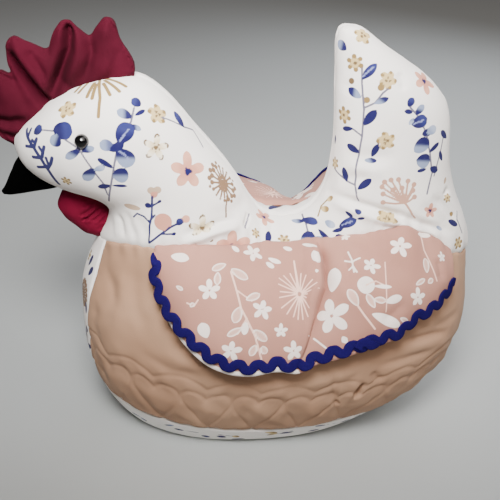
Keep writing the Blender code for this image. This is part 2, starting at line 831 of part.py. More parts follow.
def comb(clear_form, guides, collection, material):
    """Two layers of red cloth cut to four points, turned and lightly stuffed."""
    curve = bpy.data.curves.new("comb_outline", "CURVE")
    curve.dimensions = "2D"
    curve.fill_mode = "BOTH"
    curve.extrude = COMB_PLATE * MM
    curve.resolution_u = 5
    spline = curve.splines.new("BEZIER")
    spline.use_cyclic_u = True
    spline.bezier_points.add(len(COMB_OUTLINE) - 1)
    for knot, (x, z, sharp) in zip(spline.bezier_points, COMB_OUTLINE):
        knot.co = (x * MM, z * MM, 0.0)
        knot.handle_left_type = knot.handle_right_type = "VECTOR" if sharp else "AUTO"
    flat = bpy.data.objects.new("comb_flat", curve)
    flat.rotation_euler = (math.radians(90), 0.0, 0.0)
    guides.objects.link(flat)
    bpy.context.view_layer.update()
    plate = solid_copy("comb_plate", flat, guides)
    plate.data.transform(flat.matrix_world)
    plate.matrix_world.identity()
    build = bmesh.new()
    build.from_mesh(plate.data)
    bmesh.ops.remove_doubles(build, verts=build.verts, dist=0.01 * MM)
    bmesh.ops.recalc_face_normals(build, faces=build.faces)
    build.to_mesh(plate.data)
    build.free()
    even = plate.modifiers.new("even", "REMESH")
    even.mode = "VOXEL"
    even.voxel_size = COMB_CELL * MM
    soft = plate.modifiers.new("soft", "SMOOTH")
    soft.factor = 0.5
    soft.iterations = 1
    piece = solid_copy("comb", plate, collection)
    for guide in (flat, plate):
        hide(guide)
    outline = np.array([(x, z) for x, z, _ in COMB_OUTLINE], dtype=float)
    count = len(piece.data.vertices)
    places = np.empty(count * 3, dtype=np.float32)
    piece.data.vertices.foreach_get("co", places)
    places = places.reshape(-1, 3) / MM
    depth = outline_distance(places[:, [0, 2]], outline)
    roundness = 1 - (1 - np.clip(depth / COMB_ROUNDING, 0.0, 1.0)) ** 2
    fullness = COMB_EDGE + COMB_FULLNESS * np.sqrt(roundness)
    places[:, 1] *= fullness / COMB_PLATE
    for top_x, top_z, low_x, low_z, near_depth, far_depth in COMB_FOLDS:
        top = np.array((top_x, top_z))
        low = np.array((low_x, low_z))
        way = low - top
        along = np.clip(((places[:, [0, 2]] - top) @ way) / (way @ way), 0.0, 1.0)
        off = np.linalg.norm(places[:, [0, 2]] - top - along[:, None] * way, axis=1)
        dip = np.exp(-(off / FOLD_WIDTH) ** 2) * np.clip(depth / 4, 0, 1)
        places[:, 1] += np.where(places[:, 1] < 0, near_depth, -far_depth) * dip
    piece.data.vertices.foreach_set("co", (places * MM).astype(np.float32).ravel())
    piece.data.shade_smooth()
    piece.data.materials.append(material)
    boolean(piece, clear_form)


def beak(clear_form, collection, material):
    rings = [slanting_ring(smooth_row(BEAK_SECTIONS, i / 2), 14)
             for i in range(2 * (len(BEAK_SECTIONS) - 1) + 1)]
    boolean(loft("beak", rings, collection, material), clear_form)


def wattle(clear_form, collection, material):
    """A gathered pouch of crimson cloth, drawn in at the middle of each face."""
    build = bmesh.new()
    bmesh.ops.create_uvsphere(build, u_segments=28, v_segments=12, radius=1.0)
    tilt = math.radians(WATTLE_TILT)
    for vertex in build.verts:
        x, y, z = vertex.co
        turn = math.atan2(y, x)
        rim = math.hypot(x, y)
        pucker = 1 - WATTLE_PUCKER_DEPTH * (1 + math.cos(WATTLE_PUCKERS * turn)) * (1 - rim) ** 0.5
        dimple = 1 - 0.3 * math.exp(-((rim / 0.3) ** 2))
        long = x * WATTLE_HALF_SIZE[0]
        tall = y * WATTLE_HALF_SIZE[2]
        thick = z * WATTLE_HALF_SIZE[1] * pucker * dimple
        vertex.co = (WATTLE_CENTRE[0] + long * math.cos(tilt) + tall * math.sin(tilt),
                     WATTLE_CENTRE[1] - thick,
                     WATTLE_CENTRE[2] - long * math.sin(tilt) + tall * math.cos(tilt))
    boolean(finish("wattle", build, collection, material), clear_form)


def centre_base(hen, guides):
    """Move everything so that the middle of the hen's bounding box stands over the origin."""
    bpy.context.view_layer.update()
    corners = np.array([piece.matrix_world @ Vector(corner)
                        for piece in hen.objects for corner in piece.bound_box])
    middle = (corners.min(axis=0) + corners.max(axis=0)) / 2
    for piece in [*hen.objects, *guides.objects]:
        piece.location.x -= middle[0]
        piece.location.y -= middle[1]


def main():
    clear_scene()
    hen = bpy.data.collections.new("egg_cosy_hen")
    guides = bpy.data.collections.new("guides")
    for group in (hen, guides):
        bpy.context.scene.collection.children.link(group)
    floral = cloth("floral_cotton", FLORAL_WHITE, 0.85)
    tan = cloth("tan_cotton", TAN, 0.85)
    pink = cloth("printed_wing_cotton", WING_PINK, 0.85)
    blue = cloth("ricrac_braid", TRIM_BLUE, 0.8)
    comb_red = cloth("comb_cotton", COMB_RED, 0.75)
    wattle_red = cloth("wattle_cotton", WATTLE_RED, 0.7)
    black = cloth("beak_felt", FELT_BLACK, 0.95)
    form = build_form(guides)
    skin = Skin(form)
    clear_form = solid_copy("clear_form", form, guides)
    grow = clear_form.modifiers.new("grow", "DISPLACE")
    grow.mid_level = 0.0
    grow.strength = GAP * MM
    hide(clear_form)
    upper_panels(form, skin, guides, hen, floral)
    side_panels(skin, hen, tan)
    chest_gusset(skin, hen, floral)
    hem_band(skin, hen, floral)
    near_wing = wing_grid(skin, 2, NEAR_BULGE)
    far_wing = wing_grid(skin, 3, FAR_BULGE)
    sheet_solid("wing_left", near_wing, hen, pink)
    sheet_solid("wing_right", far_wing, hen, pink, mirror=True)
    ricrac("ricrac_left", near_wing, hen, blue)
    ricrac("ricrac_right", far_wing, hen, blue, mirror=True)
    comb(clear_form, guides, hen, comb_red)
    wattle(clear_form, hen, wattle_red)
    beak(clear_form, hen, black)
    centre_base(hen, guides)


main()
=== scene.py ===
"""A padded cloth hen that covers eggs: printed cottons, ric-rac braid, felt and two beads."""
import json
import math

import bmesh
import bpy
import numpy as np
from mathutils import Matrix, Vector
from mathutils.bvhtree import BVHTree

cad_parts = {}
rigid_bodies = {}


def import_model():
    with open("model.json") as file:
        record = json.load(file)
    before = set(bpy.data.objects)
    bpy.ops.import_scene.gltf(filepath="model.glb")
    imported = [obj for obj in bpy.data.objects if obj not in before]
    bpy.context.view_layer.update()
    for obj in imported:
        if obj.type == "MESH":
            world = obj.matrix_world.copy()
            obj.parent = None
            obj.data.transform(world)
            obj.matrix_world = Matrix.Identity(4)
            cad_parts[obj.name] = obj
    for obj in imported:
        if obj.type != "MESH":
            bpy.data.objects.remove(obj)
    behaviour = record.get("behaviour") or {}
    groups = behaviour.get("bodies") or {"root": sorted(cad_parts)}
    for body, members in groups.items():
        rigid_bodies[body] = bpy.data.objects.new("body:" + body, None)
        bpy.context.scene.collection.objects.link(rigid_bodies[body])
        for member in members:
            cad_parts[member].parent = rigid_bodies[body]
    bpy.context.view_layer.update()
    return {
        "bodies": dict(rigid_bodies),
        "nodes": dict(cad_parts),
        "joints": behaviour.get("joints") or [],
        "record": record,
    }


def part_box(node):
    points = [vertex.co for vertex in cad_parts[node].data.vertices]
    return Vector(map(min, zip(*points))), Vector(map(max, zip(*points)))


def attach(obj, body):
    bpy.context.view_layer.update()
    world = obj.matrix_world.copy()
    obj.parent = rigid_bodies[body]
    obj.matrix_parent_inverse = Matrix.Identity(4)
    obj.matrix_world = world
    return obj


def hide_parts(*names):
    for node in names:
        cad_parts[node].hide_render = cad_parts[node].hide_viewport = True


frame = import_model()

# The table, the light and the camera. The hen stands on a pale table in soft light; the camera looks
# a little down at its left side. Places on the hen are in millimetres from the middle of its belly.
MM = 0.001
HEN_MIDDLE = np.array((3.54, -7.52, 0.0))
CAMERA_AIM = np.array((0.0, 0.0, 85.0))
CAMERA_AZIMUTH = math.radians(-4.0)
CAMERA_ELEVATION = math.radians(29.0)
CAMERA_DISTANCE = 420.0
PICTURE = 500
FOCAL_PIXELS = 840.0
SENSOR_WIDTH = 36.0
TABLE_SIZE = 6.0
ROOM_LIGHT = 0.16


def metres(place):
    """A place on the hen, in the scene's own metres."""
    return (np.asarray(place, dtype=float) + HEN_MIDDLE) * MM


def linear(shade):
    """A colour written as sRGB hex, turned to the linear values that shaders take."""
    parts = [int(shade[i:i + 2], 16) / 255 for i in (1, 3, 5)]
    parts = [part / 12.92 if part <= 0.04045 else ((part + 0.055) / 1.055) ** 2.4 for part in parts]
    return (*parts, 1.0)


def add_node(tree, kind, inputs=None, **settings):
    """A shader node with its settings, its inputs set to values or linked from other nodes."""
    node = tree.nodes.new(kind)
    for name, value in settings.items():
        setattr(node, name, value)
    for name, value in (inputs or {}).items():
        if isinstance(value, bpy.types.NodeSocket):
            tree.links.new(value, node.inputs[name])
        else:
            node.inputs[name].default_value = value
    return node


def new_finish(name):
    """An empty material with its Principled shader, ready for its nodes."""
    finish = bpy.data.materials.new(name)
    finish.use_nodes = True
    return finish, finish.node_tree, finish.node_tree.nodes["Principled BSDF"]


view_back = np.array((math.sin(CAMERA_AZIMUTH) * math.cos(CAMERA_ELEVATION),
                      -math.cos(CAMERA_AZIMUTH) * math.cos(CAMERA_ELEVATION),
                      math.sin(CAMERA_ELEVATION)))
view_right = np.array((math.cos(CAMERA_AZIMUTH), math.sin(CAMERA_AZIMUTH), 0.0))
view_up = np.cross(view_back, view_right)
camera_place = CAMERA_AIM + CAMERA_DISTANCE * view_back


def photo_ray(across, down):
    """The direction from the camera through a pixel of the 500-pixel photograph."""
    way = (view_right * (across - PICTURE / 2) - view_up * (down - PICTURE / 2)) / FOCAL_PIXELS
    way -= view_back
    return way / np.linalg.norm(way)


bpy.ops.object.select_all(action="DESELECT")
bpy.ops.object.camera_add(location=metres(camera_place))
camera = bpy.context.object
camera.name = "photo_camera"
camera.rotation_euler = (math.pi / 2 - CAMERA_ELEVATION, 0.0, CAMERA_AZIMUTH)
camera.data.sensor_width = SENSOR_WIDTH
camera.data.lens = SENSOR_WIDTH * FOCAL_PIXELS / PICTURE
camera.data.clip_start = 0.01
bpy.context.scene.camera = camera

bpy.ops.mesh.primitive_plane_add(size=TABLE_SIZE, location=(0.0, 0.0, 0.0))
table = bpy.context.object
table.name = "table"
finish, _, shader = new_finish("matt_white_laminate")
shader.inputs["Base Color"].default_value = linear("#ADB1B1")
shader.inputs["Roughness"].default_value = 0.65
table.data.materials.append(finish)

world = bpy.data.worlds.new("soft_room")
world.use_nodes = True
room = world.node_tree.nodes["Background"]
room.inputs["Color"].default_value = linear("#F4E9E2")
room.inputs["Strength"].default_value = ROOM_LIGHT
bpy.context.scene.world = world

# Name, place, aim, size, power, spread in degrees, colour: a lamp with a grid near the head and tail,
# the ceiling's light, and a weak fill for the far side.
LIGHTS = (
    ("near_lamp", (-40.0, -260.0, 430.0), (-6.0, 0.0, 190.0), 0.16, 0.74, 62.0, "#FFFDFA"),
    ("ceiling", (260.0, -420.0, 860.0), (0.0, 0.0, 80.0), 0.9, 7.0, 180.0, "#FFF8F2"),
    ("room_fill", (320.0, 380.0, 460.0), (0.0, 0.0, 80.0), 0.7, 3.0, 180.0, "#F2F7FF"),
)
for name, place, aim, size, power, cone, shade in LIGHTS:
    bpy.ops.object.light_add(type="AREA", location=metres(place))
    lamp = bpy.context.object
    lamp.name = name
    lamp.data.size = size
    lamp.data.energy = power
    lamp.data.spread = math.radians(cone)
    lamp.data.color = linear(shade)[:3]
    lamp.rotation_euler = (Vector(metres(aim)) - lamp.location).to_track_quat("-Z", "Y").to_euler()

# The white floral back, head and tail: two halves of printed cotton, sewn together along the middle
# and stuffed. The seam draws the cloth in, and the padding rolls over at the wing seam.
UPPER_CELLS = {"left": 1.3, "right": 1.75}
UPPER_SOFTENING = {"left": 34, "right": 20}
UPPER_SWELL = 0.75
UPPER_UNEVENNESS = 0.35
SEAM_PULL = 0.9
SEAM_SPREAD = 1.1
SHARP_ANGLE = math.radians(60.0)


def add_piece(name, build):
    """A new object from a bmesh in metres."""
    mesh = bpy.data.meshes.new(name)
    build.to_mesh(mesh)
    build.free()
    piece = bpy.data.objects.new(name, mesh)
    bpy.context.scene.collection.objects.link(piece)
    return piece


def cad_copy(name, *nodes):
    """A new object with the CAD nodes' meshes, each merged and joined in one."""
    build = bmesh.new()
    for node in nodes:
        build.from_mesh(frame["nodes"][node].data)
    bmesh.ops.remove_doubles(build, verts=build.verts, dist=0.01 * MM)
    return add_piece(name, build)


def select_only(piece):
    bpy.ops.object.select_all(action="DESELECT")
    bpy.context.view_layer.objects.active = piece
    piece.select_set(True)


def work_in(piece, kind, **settings):
    """Add a modifier to a piece and apply it."""
    select_only(piece)
    change = piece.modifiers.new(kind.lower(), kind)
    for name, value in settings.items():
        setattr(change, name, value)
    bpy.ops.object.modifier_apply(modifier=change.name)


def places_of(piece):
    """The piece's points, in millimetres from the hen's middle."""
    places = np.empty(len(piece.data.vertices) * 3, dtype=np.float32)
    piece.data.vertices.foreach_get("co", places)
    return places.reshape(-1, 3).astype(float) / MM - HEN_MIDDLE


def normals_of(piece):
    normals = np.empty(len(piece.data.vertices) * 3, dtype=np.float32)
    piece.data.vertex_normals.foreach_get("vector", normals)
    return normals.reshape(-1, 3).astype(float)


def place_at(piece, places):
    piece.data.vertices.foreach_set("co", metres(places).astype(np.float32).ravel())
    piece.data.update()


def tree_of(piece):
    """The piece's surface, ready for rays, in millimetres from the hen's middle."""
    faces = [tuple(face.vertices) for face in piece.data.polygons]
    return BVHTree.FromPolygons([Vector(place) for place in places_of(piece)], faces)


def run_along(points, axis=0):
    """How far along the points each of them is, from 0 at the first."""
    steps = np.linalg.norm(np.diff(points, axis=axis), axis=-1)
    start = np.zeros_like(np.take(steps, [0], axis=axis))
    return np.concatenate((start, np.cumsum(steps, axis=axis)), axis=axis)


def along_path(places, path):
    """For each place, its distance from a path and how far along the path it is, from 0 to 1."""
    path = np.asarray(path, dtype=float)
    run = run_along(path)
    best = np.full(len(places), np.inf)
    share = np.zeros(len(places))
    for k, way in enumerate(np.diff(path, axis=0)):
        part = np.clip(((places - path[k]) @ way) / (way @ way), 0.0, 1.0)
        gap = np.linalg.norm(places - path[k] - part[:, None] * way, axis=1)
        closer = gap < best
        best[closer] = gap[closer]
        share[closer] = (run[k] + part[closer] * (run[k + 1] - run[k])) / run[-1]
    return best, share


def ripple(places, length, seed):
    """A soft random field of about -1 to 1 over the places, with waves of about the length."""
    dice = np.random.default_rng(seed)
    total = np.zeros(len(places))
    for _ in range(9):
        way = dice.normal(size=3)
        way /= np.linalg.norm(way)
        wave = length * dice.uniform(0.7, 1.5)
        total += np.sin(places @ way * 2 * math.pi / wave + dice.uniform(0, 2 * math.pi))
    return total / 4.2


def field(grid, length, seed):
    """The same over a grid of points."""
    return ripple(grid.reshape(-1, 3), length, seed).reshape(grid.shape[:2])


def cast(surface, start, way):
    """Where a ray meets a surface, and the normal there; None where it misses."""
    place, normal, _, _ = surface.ray_cast(Vector(start), Vector(way))
    return None if place is None else (np.array(place), np.array(normal))


def photo_spot(surface, pixel):
    """Where the camera's ray through a pixel meets a surface."""
    return cast(surface, camera_place, photo_ray(*pixel))


# The seam under the white cloth: x and height. The cloth puckers over it.
SEAM_LINE = (
    (-77.0, 96.0), (-70.0, 100.5), (-65.0, 103.0), (-57.0, 105.5), (-43.0, 106.0), (-30.0, 106.0),
    (-18.0, 104.5), (-2.0, 100.5), (17.0, 98.0), (36.0, 101.0), (54.0, 106.0), (71.0, 108.5),
    (83.0, 103.0), (93.0, 94.0), (104.0, 89.0), (112.0, 86.0),
)
PUCKER_DEPTH = 0.32
PUCKER_PITCH = 6.5
PUCKER_START_X = -62.0
PUCKER_FADE = 14.0
PUCKER_HEIGHT = 2.0
PUCKER_REACH = 5.0
# The puckers are unevenly apart: by how many mm, over which length.
PUCKER_DRIFT = 2.5
PUCKER_DRIFT_LENGTH = 9.0
# The tail's tip is blunter than its filling: how far it sinks and its front corner stands out, in mm,
# over which heights, and how much of the seam's pull is lost there.
TAIL_TIP_DROP = 3.4
TAIL_CORNER = 1.5
TAIL_TIP_FROM = 184.0
TAIL_TIP_REACH = 17.0
TAIL_TIP_SLACK = 0.7
# Creases pressed in the cloth, each along pixels of the photograph: width and depth in mm.
UPPER_CREASES = (
    (((326, 190), (350, 202), (375, 210), (400, 217), (425, 226), (455, 232)), 2.3, 3.2),
    (((330, 199), (356, 210), (382, 219), (410, 228)), 3.0, -2.1),
    (((372, 222), (395, 228), (425, 238), (446, 240)), 2.2, 2.0),
    (((380, 214), (400, 222), (430, 233)), 2.2, -1.1),
    (((252, 198), (249, 212), (245, 228)), 1.3, 1.6),
    (((247, 196), (240, 207), (226, 214), (205, 218)), 4.0, 1.2),
    (((178, 243), (198, 238), (218, 231), (240, 226)), 2.2, -2.3),
    (((182, 237), (200, 232), (222, 224), (240, 218)), 2.4, 2.0),
    (((116, 214), (121, 222), (124, 238)), 1.6, 0.8),
    (((113, 214), (116, 226), (117, 238)), 2.0, -0.4),
    (((126, 212), (130, 224), (136, 240)), 1.8, 0.6),
    (((136, 214), (142, 226), (150, 240)), 2.2, 0.4),
    (((110, 212), (128, 208), (150, 205), (172, 206)), 4.5, 0.7),
    (((457, 180), (449, 188), (444, 197)), 1.6, 1.5),
    (((420, 205), (437, 214), (450, 230)), 3.0, 1.2),
    (((432, 196), (446, 206), (458, 222)), 2.2, 1.4),
    (((300, 210), (312, 222), (318, 236)), 3.0, 1.1),
    (((344, 152), (360, 158), (382, 158), (400, 154)), 4.0, 1.1),
    (((346, 164), (365, 169), (388, 170)), 4.0, -0.9),
    (((338, 178), (352, 178), (372, 176)), 3.0, 0.9),
    (((362, 60), (352, 76), (346, 96)), 5.0, 0.9),
    (((398, 72), (403, 80), (404, 92)), 2.0, 0.9),
)


def press(places, normals, surface, creases):
    """Move the places in along creases of a surface, each of which fades out at both ends."""
    for pixels, width, depth in creases:
        spots = [photo_spot(surface, pixel) for pixel in pixels]
        path = [spot[0] for spot in spots if spot]
        if len(path) > 1:
            gap, share = along_path(places, path)
            fade = np.clip(np.minimum(share, 1 - share) * 4, 0.0, 1.0)
            places = places - normals * (depth * fade * np.exp(-(gap / width) ** 2))[:, None]
    return places


def tip_share(places):
    """From 0 below the tail's tip to 1 at its top."""
    return np.clip((places[:, 2] - TAIL_TIP_FROM) / TAIL_TIP_REACH, 0.0, 1.0)


def upper_half(side):
    """One half of the white cloth, from the CAD halves remeshed as one and cut along the middle."""
    piece = cad_copy("floral_" + side, "upper_left", "upper_right")
    work_in(piece, "DISPLACE", mid_level=0.0, strength=UPPER_SWELL * MM)
    work_in(piece, "REMESH", mode="VOXEL", voxel_size=UPPER_CELLS[side] * MM)
    work_in(piece, "SMOOTH", factor=0.5, iterations=UPPER_SOFTENING[side])
    work_in(piece, "SUBSURF", levels=1, render_levels=1)
    build = bmesh.new()
    build.from_mesh(piece.data)
    keep = -1.0 if side == "left" else 1.0
    cut = bmesh.ops.bisect_plane(
        build, geom=build.verts[:] + build.edges[:] + build.faces[:],
        plane_co=metres((0.0, 0.0, 0.0)), plane_no=(0.0, -keep, 0.0), clear_outer=True)
    rim = [part for part in cut["geom_cut"] if isinstance(part, bmesh.types.BMEdge)]
    bmesh.ops.triangle_fill(build, edges=rim, use_beauty=False)
    bmesh.ops.recalc_face_normals(build, faces=build.faces)
    build.to_mesh(piece.data)
    build.free()
    piece.data.shade_smooth()
    places, normals = places_of(piece), normals_of(piece)
    pull = SEAM_PULL * np.exp(-(places[:, 1] / SEAM_SPREAD) ** 2)
    pull *= 1 - TAIL_TIP_SLACK * tip_share(places)
    inward = normals.copy()
    inward[:, 1] = 0.0
    places -= inward * pull[:, None]
    places += normals * (UPPER_UNEVENNESS * ripple(places, 38.0, 4))[:, None]
    above = places[:, 2] - np.interp(places[:, 0], *zip(*SEAM_LINE))
    drift = PUCKER_DRIFT * np.sin(places[:, 0] / PUCKER_DRIFT_LENGTH)
    wave = np.sin(2 * math.pi * (places[:, 0] + drift) / PUCKER_PITCH)
    wave *= np.exp(-(((above - PUCKER_HEIGHT) / PUCKER_REACH) ** 2))
    wave *= np.clip((places[:, 0] - PUCKER_START_X) / PUCKER_FADE, 0.0, 1.0)
    places += normals * (PUCKER_DEPTH * wave)[:, None]
    corner = np.clip(normals @ (-0.7, 0.0, 0.7), 0.0, 1.0) ** 5
    corner *= np.clip((places[:, 2] - TAIL_TIP_FROM + 4) / 8, 0.0, 1.0)
    places += normals * (TAIL_CORNER * corner)[:, None]
    places[:, 2] -= TAIL_TIP_DROP * tip_share(places) ** 2
    place_at(piece, places)
    if side == "left":
        place_at(piece, press(places, normals, tree_of(piece), UPPER_CREASES))
    piece.data.set_sharp_from_angle(angle=SHARP_ANGLE)
    return piece


uppers = {side: upper_half(side) for side in ("left", "right")}

# The floral print on the white cotton: watercolour leaves in navy and grey-blue, ochre and blush
# flowers. Each motif is drawn at its place: points are pixels of the photograph's view.
NAVY = linear("#1D1C50")[:3]
NAVY_PALE = linear("#515983")[:3]
GREY_BLUE = linear("#8390AE")[:3]
STEM_GREY = linear("#6A6678")[:3]
TWIG_BLUE = linear("#2A2B5A")[:3]
OCHRE = linear("#8A7146")[:3]
OCHRE_PALE = linear("#CDB584")[:3]
OCHRE_DEEP = linear("#6B563C")[:3]
TAN_INK = linear("#80644C")[:3]
BLUSH = linear("#D49C86")[:3]
SAND = linear("#B89F88")[:3]
VEIN_BLUE = linear("#7F86B4")[:3]
BLUSH_DEEP = linear("#C98D7A")[:3]
LEAF_TONES = {
    "dark": (NAVY, NAVY),
    "soft": (NAVY, linear("#2C3068")[:3]),
    "half": (NAVY, GREY_BLUE),
    "pale": (NAVY_PALE, GREY_BLUE),
    "grey": (GREY_BLUE, linear("#A2ACC4")[:3]),
    "top": (NAVY, GREY_BLUE),
    "tip": (GREY_BLUE, NAVY),
    "outline": (linear("#DCCBA8")[:3], linear("#EDE2CC")[:3]),
    "ochre": (OCHRE_PALE, OCHRE),
    "sand": (SAND, SAND),
    "blush": (BLUSH_DEEP, BLUSH),
}


class Print:
    """The ink on one piece of cloth: how far each point is from an edge of ink, and its colour."""
    upright = view_up
    least_up = 0.05

    def __init__(self, piece):
        self.piece = piece
        self.places = places_of(piece)
        self.normals = normals_of(piece)
        self.surface = tree_of(piece)
        self.edge = np.full(len(self.places), 3.0)
        self.tint = np.ones((len(self.places), 3))

    def spot(self, pixel):
        return photo_spot(self.surface, pixel)

    def near(self, centre, normal, reach):
        """The points that a motif can reach, on the same face of the cloth."""
        close = np.abs(self.places - centre).max(axis=1) < reach
        index = np.nonzero(close)[0]
        return index[self.normals[index] @ normal > 0.2]

    def lay(self, index, gap, tint):
        """Ink with its edge where the gap is 0, over what is printed already."""
        over = (gap < 0) | (gap < self.edge[index])
        self.tint[index[over]] = np.broadcast_to(tint, (len(index), 3))[over]
        self.edge[index] = np.minimum(self.edge[index], gap)

    def stroke(self, spots, width, tint):
        """A drawn line through spots of the surface."""
        spots = [spot for spot in spots if spot is not None]
        if len(spots) < 2:
            return
        path = []
        for (start, _), (end, _) in zip(spots, spots[1:]):
            count = max(int(np.linalg.norm(end - start) / 2), 1)
            for k in range(count + 1):
                near = self.surface.find_nearest(Vector(start + (end - start) * k / count))[0]
                if not path or np.linalg.norm(np.array(near) - path[-1]) > 0.2:
                    path.append(np.array(near))
        if len(path) < 2:
            return
        path = np.array(path)
        normal = np.mean([normal for _, normal in spots], axis=0)
        centre = (path.max(axis=0) + path.min(axis=0)) / 2
        reach = np.abs(path - centre).max() + 3
        index = self.near(centre, normal / np.linalg.norm(normal), reach)
        if len(index):
            gap, _ = along_path(self.places[index], path)
            self.lay(index, gap - width / 2, tint)

    def leaf(self, base, tip, width, kind, point=0.8):
        """A leaf between two spots; point is 0.5 for a round leaf and 1 for a pointed one."""
        if base is None or tip is None:
            return
        (low, normal), (high, _) = base, tip
        long = high - low
        length = np.linalg.norm(long)
        if length < 0.5:
            return
        centre, normal, _, _ = self.surface.find_nearest(Vector((low + high) / 2))
        centre, normal = np.array(centre), np.array(normal)
        long = long - normal * (long @ normal)
        long /= np.linalg.norm(long)
        side = np.cross(normal, long)
        index = self.near(centre, normal, length / 2 + width + 2)
        off = self.places[index] - centre
        along, across = off @ long, off @ side
        flat = np.maximum(np.hypot(along, across), 1e-6)
        stretch = np.linalg.norm(off, axis=1) / flat
        along, across = along * stretch, across * stretch
        sign = np.sign(across)
        across = np.abs(across)
        far = np.clip(2 * along / length, -1.0, 1.0)
        half = width / 2 * (1 - far**2) ** point * (1 + 0.18 * far)
        over = np.maximum(np.abs(along) - length / 2, 0.0)
        gap = np.where(over > 0, np.hypot(over, across), (across - half) * 0.9)
        strong, weak = LEAF_TONES[kind]
        if kind == "top":
            mix = 0.45 - (off @ view_up) / width * 4.5
        elif kind == "vein":
            mix = (half - across) * 1.6 - 0.4
        else:
            mix = 0.5 + far * 1.6 + sign * across / width * 0.9
        mix = np.clip(mix, 0.0, 1.0)[:, None]
        self.lay(index, gap, np.array(strong) * (1 - mix) + np.array(weak) * mix)

    def frame(self, pixel):
        """A spot with directions across and up on the cloth."""
        here = self.spot(pixel)
        if here is None:
            return None
        place, normal = here
        up = self.upright - normal * (self.upright @ normal)
        length = np.linalg.norm(up)
        if length < self.least_up:
            return None
        up /= length
        return place, normal, np.cross(up, normal), up

    def ways(self, frame, turn, count):
        """Directions on the cloth, evenly turned about a frame, each with the one square to it."""
        _, _, across, up = frame
        for k in range(count):
            angle = math.radians(turn) + 2 * math.pi * k / count
            yield (across * math.cos(angle) + up * math.sin(angle),
                   up * math.cos(angle) - across * math.sin(angle))

    def petals(self, frame, radius, turn, kind, start, fat, point):
        """A ring of five petals about a spot."""
        if frame is None:
            return
        place, normal, _, _ = frame
        for k, (way, _) in enumerate(self.ways(frame, turn, 5)):
            stretch = 1 + 0.1 * math.sin(7.3 * k + turn)
            self.leaf((place + way * radius * start, normal), (place + way * radius * stretch, normal),
                      radius * fat, kind, point)

    def dot(self, place, normal, radius, tint):
        index = self.near(place, normal, radius + 2)
        gap = np.linalg.norm(self.places[index] - place, axis=1) - radius
        self.lay(index, gap, tint)

    def ring(self, frame, reach, turn, count, size, tint):
        """Dots in a ring about a spot."""
        for way, _ in self.ways(frame, turn, count):
            self.dot(frame[0] + way * reach, frame[1], size, tint)

    def petal_ends(self, frame, radius, turn, width, tint):
        """A short drawn edge round the end of each of five petals."""
        place, normal, _, _ = frame
        for way, side in self.ways(frame, turn, 5):
            bow = [(place + radius * (way * far + side * wide), normal)
                   for far, wide in ((0.78, 0.2), (0.95, 0.1), (1.0, 0.0), (0.92, -0.14))]
            self.stroke(bow, width, tint)

    def flower(self, frame, radius, turn, kind):
        """One of the print's open flowers."""
        if frame is None:
            return
        place, normal, _, _ = frame
        if kind == "blush":
            self.petals(frame, radius, turn, "blush", 0.05, 0.55, 0.55)
            self.ring(frame, radius * 0.11, 17, 3, radius * 0.1 + 0.15, NAVY)
        elif kind == "ochre":
            self.dot(place, normal, radius * 0.5, OCHRE_PALE)
            self.ring(frame, radius * 0.6, turn, 5, radius * 0.36, OCHRE_PALE)
            self.ring(frame, radius * 0.82, turn + 9, 5, radius * 0.2, OCHRE)
            self.ring(frame, radius * 0.22, turn + 30, 3, radius * 0.14, OCHRE_DEEP)
        elif kind == "star":
            self.petals(frame, radius, turn, "outline", 0.05, 0.5, 0.8)
            self.petal_ends(frame, radius, turn, 0.75, OCHRE_DEEP)
            self.dot(place, normal, radius * 0.17, OCHRE_DEEP)
            self.ring(frame, radius * 0.3, turn + 36, 5, 0.4, OCHRE_DEEP)
        elif kind == "dots":
            self.dot(place, normal, radius * 0.62, OCHRE_PALE)
            self.ring(frame, radius * 0.76, turn, 6, radius * 0.27, OCHRE)
            self.dot(place, normal, radius * 0.2, OCHRE_DEEP)

    def stems(self, table):
        """Drawn lines: points, width, colour."""
        for pixels, width, tint in table:
            self.stroke([self.spot(pixel) for pixel in pixels], width, tint)

    def leaves(self, table, point=None):
        """Leaves: base, tip, width, tone and, where they differ, point."""
        for base, tip, width, kind, *own in table:
            self.leaf(self.spot(base), self.spot(tip), width, kind, *own or [point])

    def blot(self, pixel, radius, tint):
        found = self.spot(pixel)
        if found is not None:
            self.dot(*found, radius, tint)

    def finish(self):
        """Write the ink to the mesh, for its shader."""
        mesh = self.piece.data
        edge = mesh.attributes.new("ink_edge", "FLOAT", "POINT")
        edge.data.foreach_set("value", np.clip(self.edge, -2, 3).astype(np.float32))
        tint = mesh.attributes.new("ink_tint", "FLOAT_COLOR", "POINT")
        shade = np.concatenate((self.tint, np.ones((len(self.tint), 1))), axis=1)
        tint.data.foreach_set("color", shade.astype(np.float32).ravel())


